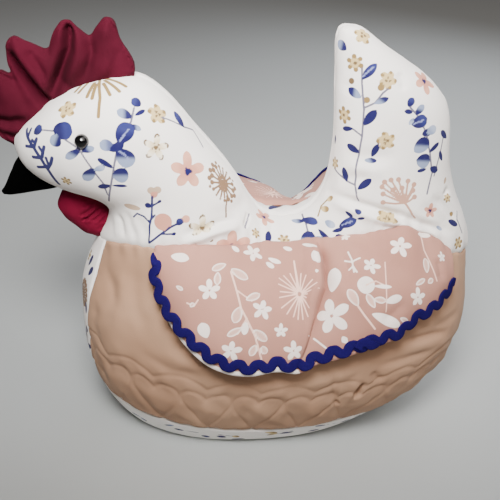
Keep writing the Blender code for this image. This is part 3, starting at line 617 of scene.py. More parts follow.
# Stems: pixels, width in mm, colour.
STEMS = (
    (((134, 108), (131, 122), (120, 140), (116, 155), (114, 166), (109, 201)), 0.9, STEM_GREY),
    (((42, 130), (53, 131)), 0.75, STEM_GREY),
    (((63, 138), (79, 149), (90, 166), (103, 183), (108, 195)), 0.85, STEM_GREY),
    (((59, 184), (49, 171), (41, 158.5), (33.5, 147), (27, 135), (27, 129)), 1.7, TWIG_BLUE),
    (((48, 168), (51, 163), (52, 158)), 1.7, TWIG_BLUE),
    (((49, 166), (46, 158)), 1.4, TWIG_BLUE),
    (((44, 167), (38, 167)), 1.6, TWIG_BLUE),
    (((42, 157), (44, 147)), 1.7, TWIG_BLUE),
    (((43, 153), (39, 147)), 1.4, TWIG_BLUE),
    (((41, 158), (33, 157)), 1.6, TWIG_BLUE),
    (((34, 148), (36.5, 139)), 1.7, TWIG_BLUE),
    (((35, 143), (32, 140)), 1.4, TWIG_BLUE),
    (((33, 147), (26, 146)), 1.4, TWIG_BLUE),
    (((28, 137), (31, 129)), 1.6, TWIG_BLUE),
    (((149, 243), (149.5, 226), (151.5, 217), (152, 197)), 1.0, TWIG_BLUE),
    (((150, 223), (144, 216.5), (137, 213.5)), 0.9, TWIG_BLUE),
    (((137, 213.5), (133.5, 217)), 0.8, TWIG_BLUE),
    (((152, 206), (159, 202)), 0.9, TWIG_BLUE),
    (((150, 221), (155, 215)), 0.8, TWIG_BLUE),
    (((149, 243), (161, 234), (171, 227), (179, 223)), 1.0, TWIG_BLUE),
    (((161, 234), (173, 234)), 0.9, TWIG_BLUE),
    (((227, 196), (226, 206), (226, 217)), 0.9, TAN_INK),
    (((252, 198), (249, 214), (245, 228)), 0.85, STEM_GREY),
    (((302, 214), (306, 224), (309, 236)), 0.85, STEM_GREY),
    (((318, 216), (321, 206), (328, 199)), 0.9, OCHRE),
    (((362, 68), (362, 83), (364, 110), (362, 137), (357.5, 160), (355, 183), (359, 201)), 0.9, STEM_GREY),
    (((364, 108), (375, 103), (383, 93), (388, 89)), 0.85, STEM_GREY),
    (((362, 136), (353, 129)), 0.85, STEM_GREY),
    (((355, 185), (347, 181), (340, 175), (335, 169)), 0.85, STEM_GREY),
    (((410, 107), (417, 115), (425, 130), (430, 153), (432, 173), (427, 194)), 0.85, STEM_GREY),
    (((443, 138), (441, 149), (434, 176)), 0.75, STEM_GREY),
    (((457, 211), (457, 220), (462, 233)), 0.75, STEM_GREY),
    (((161, 117), (172, 121), (184, 127)), 0.75, STEM_GREY),
    (((184, 127), (193, 130), (198, 138), (203, 147)), 0.85, STEM_GREY),
    (((100, 79), (100, 98), (98.3, 117)), 1.4, OCHRE),
    (((84, 83), (75, 92)), 1.4, OCHRE),
    (((90, 81.5), (78.5, 93)), 1.5, OCHRE),
    (((94.5, 83), (87, 97)), 1.6, OCHRE),
    (((96.5, 84.5), (92, 98.5)), 1.6, OCHRE),
    (((103.5, 83.5), (110, 95)), 1.5, OCHRE),
    (((104.5, 80.5), (119.5, 91.5)), 1.5, OCHRE),
    (((106, 78.5), (126, 86.5)), 1.5, OCHRE),
    (((108.5, 76), (126.5, 81)), 1.5, OCHRE),
)

# Leaves: base and tip pixels, width in mm, tone, roundness.
LEAVES = (
    ((140.5, 106), (132, 99), 4.4, "soft", 0.5),
    ((135, 115.5), (145, 110), 1.9, "dark", 0.6),
    ((131.5, 117.5), (117, 110.5), 4.2, "half", 0.55),
    ((131, 125), (141, 130), 2.4, "half", 0.6),
    ((118.5, 142.5), (130, 123.5), 7.6, "soft", 0.5),
    ((114, 147.5), (99.5, 143.5), 5.0, "pale", 0.55),
    ((110, 151), (123.5, 143.5), 3.8, "dark", 0.55),
    ((117, 150.5), (133, 165), 7.4, "top", 0.5),
    ((113, 168), (97.5, 158.5), 2.4, "dark", 0.5),
    ((112.5, 174), (128.5, 176.5), 7.0, "top", 0.5),
    ((110.5, 185.5), (98, 187), 2.7, "dark", 0.55),
    ((112, 185.5), (127.5, 186), 1.5, "dark", 0.6),
    ((53.5, 129), (72, 132), 7.6, "soft", 0.45),
    ((60.5, 145.5), (51, 136.5), 5.4, "half", 0.5),
    ((80, 150), (65.5, 158.5), 3.6, "half", 0.6),
    ((81.5, 151), (94.5, 148), 3.0, "half", 0.6),
    ((94.5, 169), (84, 180), 4.8, "top", 0.55),
    ((94, 170), (105, 167), 2.8, "grey", 0.6),
    ((34, 134), (41.5, 126), 4.6, "soft", 0.5),
    ((184, 127.5), (174, 111), 4.2, "soft", 0.75),
    ((199, 133), (192, 122), 3.6, "half", 0.6),
    ((151, 207), (145, 204), 2.6, "dark", 0.5),
    ((158, 203), (161, 200), 1.4, "dark", 0.5),
    ((177, 225), (182, 219), 3.2, "soft", 0.5),
    ((172, 235), (176, 233), 1.6, "dark", 0.5),
    ((140.5, 209), (124, 205), 3.0, "sand", 0.5),
    ((265, 246), (269, 231), 3.4, "dark", 0.8),
    ((305, 221), (291, 220), 3.0, "half", 0.8),
    ((302, 219), (318, 223), 4.0, "soft", 0.7),
    ((304, 246), (312, 232), 6.4, "top", 0.5),
    ((313, 238), (325, 241), 3.2, "pale", 0.6),
    ((318, 229), (331, 241), 2.2, "dark", 0.6),
    ((325, 221), (335, 227), 3.4, "grey", 0.6),
    ((339, 226.5), (356.5, 219.5), 4.4, "soft", 0.6),
    ((332, 231.5), (343, 229), 2.0, "dark", 0.6),
    ((336, 235), (348, 242.5), 5.0, "half", 0.5),
    ((345, 211), (353, 217), 2.0, "dark", 0.6),
    ((355, 209), (361, 214), 2.8, "soft", 0.6),
    ((357, 219), (365, 218), 1.6, "dark", 0.6),
    ((321, 208), (329, 210), 3.0, "ochre", 0.55),
    ((327, 200), (333, 197.5), 2.8, "ochre", 0.55),
    ((346.5, 50), (338, 41), 4.4, "half", 0.7),
    ((361.5, 79.5), (377, 63.5), 3.9, "soft", 0.75),
    ((361, 98), (348.5, 88), 3.8, "tip", 0.7),
    ((374, 103.5), (389, 98), 2.8, "tip", 0.75),
    ((363.5, 125.5), (376.5, 110), 4.2, "dark", 0.7),
    ((353, 128.5), (342.5, 128.5), 2.4, "dark", 0.6),
    ((359.5, 153), (347, 144), 3.4, "dark", 0.7),
    ((371.5, 157), (378.5, 144), 3.0, "dark", 0.7),
    ((364, 160), (377, 161), 2.4, "tip", 0.7),
    ((346.5, 182), (343.5, 167), 3.2, "dark", 0.7),
    ((357.5, 189.5), (371.5, 179), 3.4, "dark", 0.7),
    ((335, 144), (335.5, 135), 1.8, "dark", 0.6),
    ((408, 106.5), (413.5, 98), 3.4, "soft", 0.55),
    ((415.5, 114.5), (424, 105), 3.2, "half", 0.6),
    ((413, 112.5), (404.5, 111), 2.2, "dark", 0.6),
    ((412, 125), (427, 118.5), 5.8, "soft", 0.5),
    ((414, 118), (409, 125), 2.0, "grey", 0.6),
    ((422, 134.5), (431.5, 131), 3.6, "dark", 0.55),
    ((427, 133), (436, 127.5), 4.2, "grey", 0.5),
    ((414.5, 152), (428.5, 139), 6.6, "top", 0.5),
    ((429, 152.5), (439, 142.5), 2.3, "dark", 0.6),
    ((416.5, 160), (429.5, 161.5), 6.8, "top", 0.5),
    ((430, 168), (437.5, 170.5), 3.4, "dark", 0.5),
    ((426.5, 169), (417, 171.5), 1.8, "dark", 0.6),
    ((446.5, 138), (441, 131), 3.0, "dark", 0.6),
    ((442, 161), (439.5, 151), 2.2, "dark", 0.6),
    ((444, 184), (446, 177), 2.0, "sand", 0.7),
    ((457, 211), (458.5, 199.5), 2.6, "dark", 0.7),
    ((448, 220.5), (457.5, 225), 3.2, "dark", 0.7),
    ((436, 226), (442, 230), 1.8, "grey", 0.7),
)

# Pale veins over the largest leaves.
VEINS = [(pixels, 0.65, VEIN_BLUE) for pixels in (
    ((119.5, 141.5), (124, 135), (128.5, 129.5)), ((119, 151), (125, 155), (130, 161)),
    ((414, 124), (424, 120)), ((363, 76), (373, 67.5)), ((342, 225.2), (353, 221)),
)]
# The seed head: its middle, half width and half height in mm; and the forking bush.
DANDELION = ((223, 183), 8.5, 10.3)
CORAL_INK = linear("#B98F7B")[:3]
CORAL_BASE = (415, 218)
CORAL_JOINT = (405, 203)
CORAL_TIPS = (
    (383, 202.5), (383, 194), (382, 187), (384.5, 182), (391, 180), (398.5, 179.5), (408, 181),
    (414, 184.5), (413, 190.5), (414.5, 197), (393, 190), (402, 188),
)
# The far side's print: mm for each pixel, and the pixels that lie at its middle in turn.
FAR_SCALE = 0.52
FAR_SHIFTS = ((180.0, 150.0), (395.0, 120.0), (250.0, 260.0))
FAR_HEIGHT = 100.0
FAR_TALL = 1.05

# Open flowers: pixel, radius in mm, turn in degrees, kind.
FLOWERS = (
    ((67, 109), 4.6, 100, "ochre"),
    ((157.5, 114), 4.8, 85, "ochre"),
    ((156, 147.5), 5.8, 84, "star"),
    ((188, 171.5), 8.4, 20, "blush"),
    ((202, 228), 6.4, 96, "star"),
    ((264, 217), 5.4, 100, "blush"),
    ((232.5, 247), 9.2, 92, "blush"),
    ((373, 245), 8.0, 62, "blush"),
    ((256, 233), 2.6, 20, "dots"),
    ((284, 240), 3.2, 50, "dots"),
    ((387, 218), 5.4, 40, "ochre"),
    ((363, 35), 4.4, 80, "ochre"),
    ((355, 63), 3.9, 90, "dots"),
    ((388, 80), 4.2, 60, "ochre"),
    ((344, 115), 4.0, 80, "dots"),
    ((386, 141), 4.4, 100, "ochre"),
    ((335, 163), 3.0, 80, "dots"),
    ((424, 81), 6.4, 60, "blush"),
    ((430, 211), 3.8, 90, "blush"),
    ((458, 243), 3.2, 20, "dots"),
    ((447.5, 198), 2.6, 20, "dots"),
    ((66.5, 181), 2.6, 20, "dots"),
)

# Single dots and buds: pixel, radius in mm, colour.
BUDS = (
    ((163, 222), 4.0, BLUSH_DEEP),
    ((186, 219), 1.8, BLUSH),
    ((151, 190.5), 1.7, SAND),
    ((157.5, 190), 1.7, SAND),
    ((154, 194.5), 1.6, BLUSH_DEEP),
    ((351.5, 81), 1.4, OCHRE_DEEP),
    ((367, 100), 1.4, OCHRE),
    ((381, 87.5), 1.5, OCHRE),
    ((451, 214), 1.2, OCHRE),
)


def dandelion(ink, centre, wide, tall):
    """A seed head: a small core, spokes, and seeds in two rings."""
    frame = ink.frame(centre)
    if frame is None:
        return
    place, normal, across, up = frame
    oval = (place, normal, across * wide, up * tall)
    ink.dot(place, normal, wide * 0.2, TAN_INK)
    for k, (way, _) in enumerate(ink.ways(oval, 0, 32)):
        ink.dot(place + way * (0.98 if k % 2 else 0.8), normal, 1.2, TAN_INK)
        if k % 2 == 0:
            ink.stroke([(place + way * 0.22, normal), (place + way * 0.68, normal)], 0.95, TAN_INK)
    ink.ring(oval, 0.36, 360 / 22, 11, 0.6, TAN_INK)


def fan_coral(ink, base, joint, tips, tint):
    """A low bush of forking lines that end in dots."""
    ink.stroke([ink.spot(base), ink.spot(joint)], 1.0, tint)
    for tip in tips:
        middle = ((joint[0] * 1.2 + tip[0]) / 2.2, (joint[1] + tip[1]) / 2 + 1)
        ink.stroke([ink.spot(joint), ink.spot(middle), ink.spot(tip)], 0.9, tint)
        ink.blot(tip, 1.2, tint)


def print_flowers(ink):
    """The whole of the near side's print, from the tables."""
    for spot, radius, turn, kind in FLOWERS:
        ink.flower(ink.frame(spot), radius, turn, kind)
    for spot, radius, tint in BUDS:
        ink.blot(spot, radius, tint)
    dandelion(ink, *DANDELION)
    fan_coral(ink, CORAL_BASE, CORAL_JOINT, CORAL_TIPS, CORAL_INK)
    ink.stems(STEMS)
    ink.leaves(LEAVES)
    ink.stems(VEINS)


class FarPrint(Print):
    """The same print further along the cloth: pixels are read as places on the far side."""
    upright = np.array((0.0, 0.0, 1.0))
    least_up = 0.2
    shift = FAR_SHIFTS[0]

    def spot(self, pixel):
        x = -(pixel[0] - self.shift[0]) * FAR_SCALE
        z = FAR_HEIGHT - (pixel[1] - self.shift[1]) * FAR_SCALE * FAR_TALL
        return cast(self.surface, (x, 160.0, z), (0, -1, 0))


floral_ink = Print(uppers["left"])
print_flowers(floral_ink)
floral_ink.finish()
far_ink = FarPrint(uppers["right"])
for shift in FAR_SHIFTS:
    far_ink.shift = shift
    print_flowers(far_ink)
far_ink.finish()


def surface_of(tree, shader, colour, relief, strength, depth):
    """Give a shader its colour and a bump from a noise, strong and deep as said."""
    bump = add_node(tree, "ShaderNodeBump", {
        "Height": relief.outputs["Fac"], "Strength": strength, "Distance": depth})
    tree.links.new(colour, shader.inputs["Base Color"])
    tree.links.new(bump.outputs["Normal"], shader.inputs["Normal"])


def cotton(name, ground, deeper, inked=False, sheen=0.06):
    """Matt plain-weave cotton, a little uneven in colour; ink, where there is any, lies in its threads.
    The real threads are 0.25 mm apart; the grain is drawn at about 0.5 mm, so that it shows."""
    finish, tree, shader = new_finish(name)
    where = add_node(tree, "ShaderNodeTexCoord").outputs["Object"]
    wash = add_node(tree, "ShaderNodeTexNoise", {"Vector": where, "Scale": 260.0, "Detail": 4.0})
    broad = add_node(tree, "ShaderNodeTexNoise", {"Vector": where, "Scale": 28.0, "Detail": 2.0})
    grain = add_node(tree, "ShaderNodeTexNoise", {"Vector": where, "Scale": 1700.0, "Detail": 2.0})
    uneven = add_node(tree, "ShaderNodeMapRange", {
        "Value": broad.outputs["Fac"], "From Min": 0.35, "From Max": 0.65})
    base = add_node(tree, "ShaderNodeMix", {
        0: uneven.outputs["Result"], 6: linear(ground), 7: linear(deeper)}, data_type="RGBA").outputs[2]
    if inked:
        edge = add_node(tree, "ShaderNodeAttribute", attribute_name="ink_edge").outputs["Fac"]
        tint = add_node(tree, "ShaderNodeAttribute", attribute_name="ink_tint").outputs["Color"]
        inside = add_node(tree, "ShaderNodeMapRange", {
            "Value": edge, "From Min": 0.1, "From Max": -0.1})
        strength = add_node(tree, "ShaderNodeMapRange", {
            "Value": wash.outputs["Fac"], "From Min": 0.3, "From Max": 0.65, "To Min": 0.99})
        cover = add_node(tree, "ShaderNodeMath", {
            0: inside.outputs["Result"], 1: strength.outputs["Result"]}, operation="MULTIPLY")
        base = add_node(tree, "ShaderNodeMix", {
            0: cover.outputs[0], 6: base, 7: tint}, data_type="RGBA").outputs[2]
    surface_of(tree, shader, base, grain, 0.35, 0.2 * MM)
    shader.inputs["Roughness"].default_value = 0.88
    shader.inputs["Sheen Weight"].default_value = sheen
    shader.inputs["Sheen Roughness"].default_value = 0.5
    shader.inputs["Specular IOR Level"].default_value = 0.12
    return finish


def fibres(name, darker, lighter, scale, detail, strength, depth, roughness, shine):
    """A dull fibrous finish: a fine noise between two shades, which is its relief too."""
    finish, tree, shader = new_finish(name)
    where = add_node(tree, "ShaderNodeTexCoord").outputs["Object"]
    noise = add_node(tree, "ShaderNodeTexNoise", {"Vector": where, "Scale": scale, "Detail": detail})
    shade = add_node(tree, "ShaderNodeMix", {
        0: noise.outputs["Fac"], 6: linear(darker), 7: linear(lighter)}, data_type="RGBA")
    surface_of(tree, shader, shade.outputs[2], noise, strength, depth)
    shader.inputs["Roughness"].default_value = roughness
    shader.inputs["Specular IOR Level"].default_value = shine
    return finish


def dress(piece, finish, node):
    """Give a piece its finish, and let it stand for its CAD node."""
    piece.data.materials.clear()
    piece.data.materials.append(finish)
    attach(piece, "root")
    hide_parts(node)


floral = cotton("printed_floral_cotton", "#F6F2EE", "#F1ECE8", inked=True)
for side in ("left", "right"):
    dress(uppers[side], floral, "upper_" + side)

# What the lower pieces are cut to fit: the belly's surface, taken from the CAD solids without their
# relief, and measured along level spokes from the breast (turn 0) to the rump (turn 1).
BODY_NODES = ("upper_left", "upper_right", "side_left", "side_right", "chest_gusset", "hem_band")
AXIS_LOW = (-35.0, 38.0)
AXIS_HIGH = (-44.0, 74.0)
AXIS_HIGH_Z = 80.0
AXIS_TOP_Z = 62.0
FAN_SHARE = 0.28
BELLY_CELL = 2.5
BELLY_SOFTENING = 9
WALL = 8.0
INNER_DROP = 1.5
PANEL_STEP = 8
PANEL_SAMPLES = 34
PANEL_CONTROL_ROWS = 26
RAY_START = 150.0
WING_SEAM_ABOUT = 100.0
HEM_SEAM_LOW = 14.0
HEM_SEAM_RISE = 7.0
HEM_SEAM_MIDDLE = 6.0
HEM_SEAM_REACH = 75.0
GUSSET_WIDTHS = (
    (0.0, 15.0), (30.0, 18.0), (64.0, 20.0), (72.0, 19.6), (80.0, 18.2), (88.0, 16.0), (95.0, 14.0),
    (102.0, 12.5),
)

belly = cad_copy("belly_guide", *BODY_NODES)
work_in(belly, "REMESH", mode="VOXEL", voxel_size=BELLY_CELL * MM)
work_in(belly, "SMOOTH", factor=0.5, iterations=BELLY_SOFTENING)
belly_surface = tree_of(belly)
bpy.data.objects.remove(belly)


def spoke(turn, z):
    """Start x and direction of the near side's spoke."""
    rise = min(max(z / AXIS_HIGH_Z, 0.0), 1.0)
    front = AXIS_LOW[0] + (AXIS_HIGH[0] - AXIS_LOW[0]) * rise
    rear = AXIS_LOW[1] + (AXIS_HIGH[1] - AXIS_LOW[1]) * rise
    if turn < FAN_SHARE:
        return front, math.pi / 2 * turn / FAN_SHARE
    if turn > 1 - FAN_SHARE:
        return rear, math.pi / 2 * (1 + (turn - 1 + FAN_SHARE) / FAN_SHARE)
    return front + (rear - front) * (turn - FAN_SHARE) / (1 - 2 * FAN_SHARE), math.pi / 2


def belly_at(turn, z):
    x, angle = spoke(turn, z)
    out = np.array((-math.cos(angle), -math.sin(angle), 0.0))
    place = belly_surface.ray_cast(Vector(np.array((x, 0.0, z)) + RAY_START * out), Vector(-out))[0]
    return np.array(place)


def inward(x, point):
    """The direction from a point of the wall to the belly's axis at x."""
    way = np.array((x, 0.0, min(point[2], AXIS_TOP_Z))) - point
    return way / np.linalg.norm(way)


def seam_height(turn):
    z = WING_SEAM_ABOUT
    for _ in range(5):
        z = float(np.interp(belly_at(turn, z)[0], *zip(*SEAM_LINE)))
    return z


def hem_height(turn):
    x = belly_at(turn, HEM_SEAM_LOW)[0]
    return HEM_SEAM_LOW + HEM_SEAM_RISE * ((x - HEM_SEAM_MIDDLE) / HEM_SEAM_REACH) ** 2


def turn_at_gusset(z):
    """The turn at which the belly is half a gusset away from its middle."""
    half_width = np.interp(z, *zip(*GUSSET_WIDTHS))
    low, high = 0.0, FAN_SHARE
    for _ in range(13):
        middle = (low + high) / 2
        low, high = (middle, high) if -belly_at(middle, z)[1] < half_width else (low, middle)
    return low


GUSSET_HEIGHTS = np.arange(14.0, 110.0)
GUSSET_TURNS = [turn_at_gusset(z) for z in GUSSET_HEIGHTS]


def gusset_turn(z):
    return float(np.interp(z, GUSSET_HEIGHTS, GUSSET_TURNS))


def spread(points, count):
    """As many points, evenly apart along a polyline."""
    run = run_along(points)
    marks = np.linspace(0.0, run[-1], count)
    return np.stack([np.interp(marks, run, points[:, k]) for k in range(3)], axis=1)


def smooth_rows(count, fine):
    """Weights that turn a row of control values to a finer row on a smooth curve near them."""
    weights = np.zeros((fine, count + 2))
    for i, place in enumerate(np.arange(fine) / (fine - 1) * (count - 1)):
        k = min(int(place), count - 2)
        t = place - k
        weights[i, k:k + 4] = ((1 - t) ** 3 / 6, (3 * t**3 - 6 * t**2 + 4) / 6,
                               (-3 * t**3 + 3 * t**2 + 3 * t + 1) / 6, t**3 / 6)
    # The row goes on straight past its two ends.
    for past, end, inner in ((0, 1, 2), (-1, -2, -3)):
        weights[:, end] += 2 * weights[:, past]
        weights[:, inner] -= weights[:, past]
    return weights[:, 1:-1]


def finer(grid, rows, columns):
    """A control grid of points, made fine and smooth."""
    grid = np.asarray(grid, dtype=float)
    down = smooth_rows(grid.shape[0], rows)
    along = smooth_rows(grid.shape[1], columns)
    return np.einsum("ri,ijk,cj->rck", down, grid, along)


def grid_normals(grid):
    """Outward unit normals of a grid of points on the near side."""
    normals = np.cross(np.gradient(grid, axis=1), np.gradient(grid, axis=0))
    return normals / np.linalg.norm(normals, axis=2, keepdims=True)


def grid_tree(grid):
    """A grid of points as a surface for rays."""
    rows, columns = grid.shape[:2]
    corners = np.arange(rows * columns).reshape(rows, columns)
    faces = np.stack((corners[:-1, :-1], corners[:-1, 1:], corners[1:, 1:], corners[1:, :-1]), axis=2)
    return BVHTree.FromPolygons(grid.reshape(-1, 3).tolist(), faces.reshape(-1, 4).tolist())


def panel_grid(turn_of, columns):
    """Control points of a lower panel, from the hem seam up to the wing seam."""
    grid = []
    for j in range(columns):
        share = j / (columns - 1)
        low, high = HEM_SEAM_LOW, WING_SEAM_ABOUT
        for _ in range(3):
            low = hem_height(turn_of(low, share))
            high = seam_height(turn_of(high, share))
        heights = np.linspace(low, high, PANEL_SAMPLES)
        points = np.array([belly_at(turn_of(z, share), z) for z in heights])
        grid.append(spread(points, PANEL_CONTROL_ROWS))
    return np.array(grid).transpose(1, 0, 2)


def roll_edges(grid, normals, radius):
    """Turn a panel's edges in over a small radius, as padding does at a seam."""
    down, along = run_along(grid), run_along(grid, axis=1)
    gap = np.minimum(np.minimum(down, down[-1] - down), np.minimum(along, along[:, -1:] - along))
    near = np.clip(1 - gap / radius, 0.0, 1.0)
    return grid - normals * (radius * (1 - np.sqrt(1 - near**2)))[:, :, None]


def inner_skin(grid, axis_x):
    """Every few of a panel's points, a wall's thickness in; axis_x gives the axis at a column's point."""
    inner = grid[::PANEL_STEP, ::PANEL_STEP].copy()
    for row in inner:
        for j, point in enumerate(row):
            row[j] = point + WALL * inward(axis_x(j * PANEL_STEP, point), point)
    inner[-1, :, 2] -= INNER_DROP
    return inner


def new_piece(name, build):
    """A new object from a closed bmesh in millimetres from the hen's middle, its faces turned out."""
    bmesh.ops.recalc_face_normals(build, faces=build.faces)
    for vertex in build.verts:
        vertex.co = Vector(metres(vertex.co))
    piece = add_piece(name, build)
    piece.data.shade_smooth()
    piece.data.set_sharp_from_angle(angle=SHARP_ANGLE)
    return piece


def seal(build):
    """Merge a rolled-up skin along its seam and fill its open ends."""
    bmesh.ops.remove_doubles(build, verts=build.verts, dist=0.001)
    rim = [edge for edge in build.edges if edge.is_boundary]
    bmesh.ops.holes_fill(build, edges=rim, sides=0)


def add_skin(build, grid):
    skin = [[build.verts.new(Vector(point)) for point in row] for row in grid]
    for low, high in zip(skin, skin[1:]):
        for i in range(len(low) - 1):
            build.faces.new((low[i], low[i + 1], high[i + 1], high[i]))
    return skin


def padded_panel(name, outer, inner, step, mirror=False):
    """A closed pad between a fine outer skin and an inner skin with every few of its points."""
    if mirror:
        outer = outer * (1.0, -1.0, 1.0)
        inner = inner * (1.0, -1.0, 1.0)
    build = bmesh.new()
    front, back = add_skin(build, outer), add_skin(build, inner)
    for edge_front, edge_back in (
        (front[0], back[0]), (front[-1], back[-1]),
        ([row[0] for row in front], [row[0] for row in back]),
        ([row[-1] for row in front], [row[-1] for row in back]),
    ):
        for k in range(len(edge_back) - 1):
            build.faces.new(edge_front[k * step:(k + 1) * step + 1] + [edge_back[k + 1], edge_back[k]])
    bmesh.ops.triangulate(build, faces=[face for face in build.faces if len(face.verts) > 4])
    return new_piece(name, build)


# The tan sides: plain cotton over wadding, machine-quilted along the bottom with a row of hearts and
# a scallop over each pair of lobes. The stitches draw the cloth in and leave it puffed between them.
HEARTS = 9
HEART_HEIGHT = 29.5
HEART_SHIFT = 0.24
STITCH_DEPTH = 0.55
STITCH_WIDTH = 0.75
PUFF = 0.34
PUFF_SPREAD = 3.4
# How far the sewn lines wander along the hem and up, and how far above the seam they start.
QUILT_DRIFT = 0.6
QUILT_SAG = 0.5
QUILT_START = 0.8
SIDE_WRINKLE = 0.35
SIDE_UNEVENNESS = 0.5
SIDE_GATHER = 0.35
SIDE_EDGE = 2.2
RUMP_GAP = 0.2
SIDE_ROWS = 113
SIDE_COLUMNS = 281
SIDE_CONTROLS = 74
# Half a heart and half a scallop: share of half the heart's pitch, share of the heart's height.
HEART_CURVE = ((0.0, 0.02), (0.25, 0.19), (0.5, 0.37), (0.75, 0.55), (0.92, 0.69), (0.97, 0.79),
               (0.89, 0.88), (0.68, 0.935), (0.42, 0.925), (0.17, 0.87), (0.0, 0.79))
SCALLOP_CURVE = ((0.0, 1.0), (0.25, 1.08), (0.5, 1.135), (0.75, 1.17), (1.0, 1.18))
# Creases and dents in the near side: pixels, width, depth in mm.
SIDE_CREASES = (
    (((398, 342), (415, 339), (432, 335), (448, 331)), 1.6, 1.6),
    (((395, 350), (415, 347), (435, 343), (450, 340)), 3.0, -0.9),
    (((376, 366), (395, 362), (415, 356), (434, 349)), 2.0, 1.1),
    (((430, 330), (445, 322), (458, 312)), 2.4, 0.9),
    (((363, 383), (359, 391), (354.5, 399)), 1.5, 4.8),
    (((350, 378), (358, 390), (352, 402)), 4.0, -0.8),
    (((334, 405), (339, 402)), 1.6, 1.6),
    (((333, 370), (334, 386), (335, 402)), 1.8, 1.1),
    (((372, 372), (377, 378), (385, 380)), 1.8, 1.3),
    (((104, 262), (112, 285), (115, 310)), 3.0, 0.8),
    (((118, 256), (124, 300), (110, 345)), 4.5, -0.9),
    (((135, 262), (134, 300), (146, 340)), 4.0, 0.8),
    (((96, 300), (94, 325), (100, 345)), 3.0, 0.8),
    (((168, 338), (188, 352), (215, 362)), 2.2, 1.1),
    (((160, 352), (185, 364), (225, 370)), 3.0, -0.9),
    (((140, 352), (168, 370), (205, 378)), 2.6, 0.9),
    (((225, 374), (262, 382), (300, 380)), 2.6, 0.9),
    (((300, 388), (330, 380), (360, 368)), 2.6, -0.9),
    (((455, 262), (450, 285), (440, 305)), 3.0, 0.9),
)


def side_turn(z, share):
    edge = gusset_turn(z)
    return edge + (1 - edge) * share


def curve_gap(across, height, curve, pitch):
    """Distance in mm of each point of the quilting from a curve of the table."""
    path = np.array([(a * pitch / 2, h * HEART_HEIGHT, 0.0) for a, h in curve])
    flat = np.stack((across.ravel(), height.ravel(), np.zeros(across.size)), axis=1)
    gap, _ = along_path(flat, path)
    return gap.reshape(across.shape)


def side_axis(column, point):
    return spoke(side_turn(point[2], column / (SIDE_COLUMNS - 1)), point[2])[0]


side_grid = finer(panel_grid(side_turn, SIDE_CONTROLS), SIDE_ROWS, SIDE_COLUMNS)
side_grid[:, -1, 1] = np.minimum(side_grid[:, -1, 1], -RUMP_GAP)
side_normals = grid_normals(side_grid)
heights = run_along(side_grid)
lengths = run_along(side_grid[SIDE_ROWS // 3])
pitch = lengths[-1] / HEARTS
across = lengths[None, :] + QUILT_DRIFT * field(side_grid, 30.0, 11) + pitch * (0.5 + HEART_SHIFT)
across = np.abs(across % pitch - pitch / 2)
up = np.maximum(heights - QUILT_START + QUILT_SAG * field(side_grid, 24.0, 12), 0.0)
stitch_gap = np.minimum(*[curve_gap(across, up, curve, pitch) for curve in (HEART_CURVE, SCALLOP_CURVE)])
scallop_top = np.interp(across / (pitch / 2), *zip(*SCALLOP_CURVE)) * HEART_HEIGHT
inside = np.clip((scallop_top - up) / 3, 0.0, 1.0)
relief = PUFF * (1 - np.exp(-(stitch_gap / PUFF_SPREAD) ** 2)) * inside
relief -= STITCH_DEPTH * np.exp(-(stitch_gap / STITCH_WIDTH) ** 2)
relief += SIDE_WRINKLE * field(side_grid, 9.0, 13) * (0.4 + 0.6 * inside)
relief += SIDE_UNEVENNESS * field(side_grid, 34.0, 14)
below = heights[-1:] - heights
gathers = np.sin(side_grid[:, :, 0] * 0.9 + 2 * np.sin(side_grid[:, :, 0] / 8))
relief += SIDE_GATHER * np.exp(-((below / 6) ** 2)) * gathers
inner = inner_skin(side_grid, side_axis)
inner[:, -1, 1] = -RUMP_GAP
tan = cotton("tan_cotton", "#AF8C72", "#A38067")
for side in ("left", "right"):
    grid = roll_edges(side_grid + side_normals * relief[:, :, None], side_normals, SIDE_EDGE)
    if side == "left":
        flat = press(grid.reshape(-1, 3), side_normals.reshape(-1, 3), grid_tree(grid), SIDE_CREASES)
        grid = flat.reshape(grid.shape)
    piece = padded_panel("tan_side_" + side, grid, inner, PANEL_STEP, mirror=side == "right")
    dress(piece, tan, "side_" + side)

# The chest gusset: a strip of the floral print from the throat to the hem, between the tan sides.
GUSSET_ROWS = 257
GUSSET_COLUMNS = 97
GUSSET_CONTROLS = 9
GUSSET_EDGE = 1.6
GUSSET_UNEVENNESS = 0.3
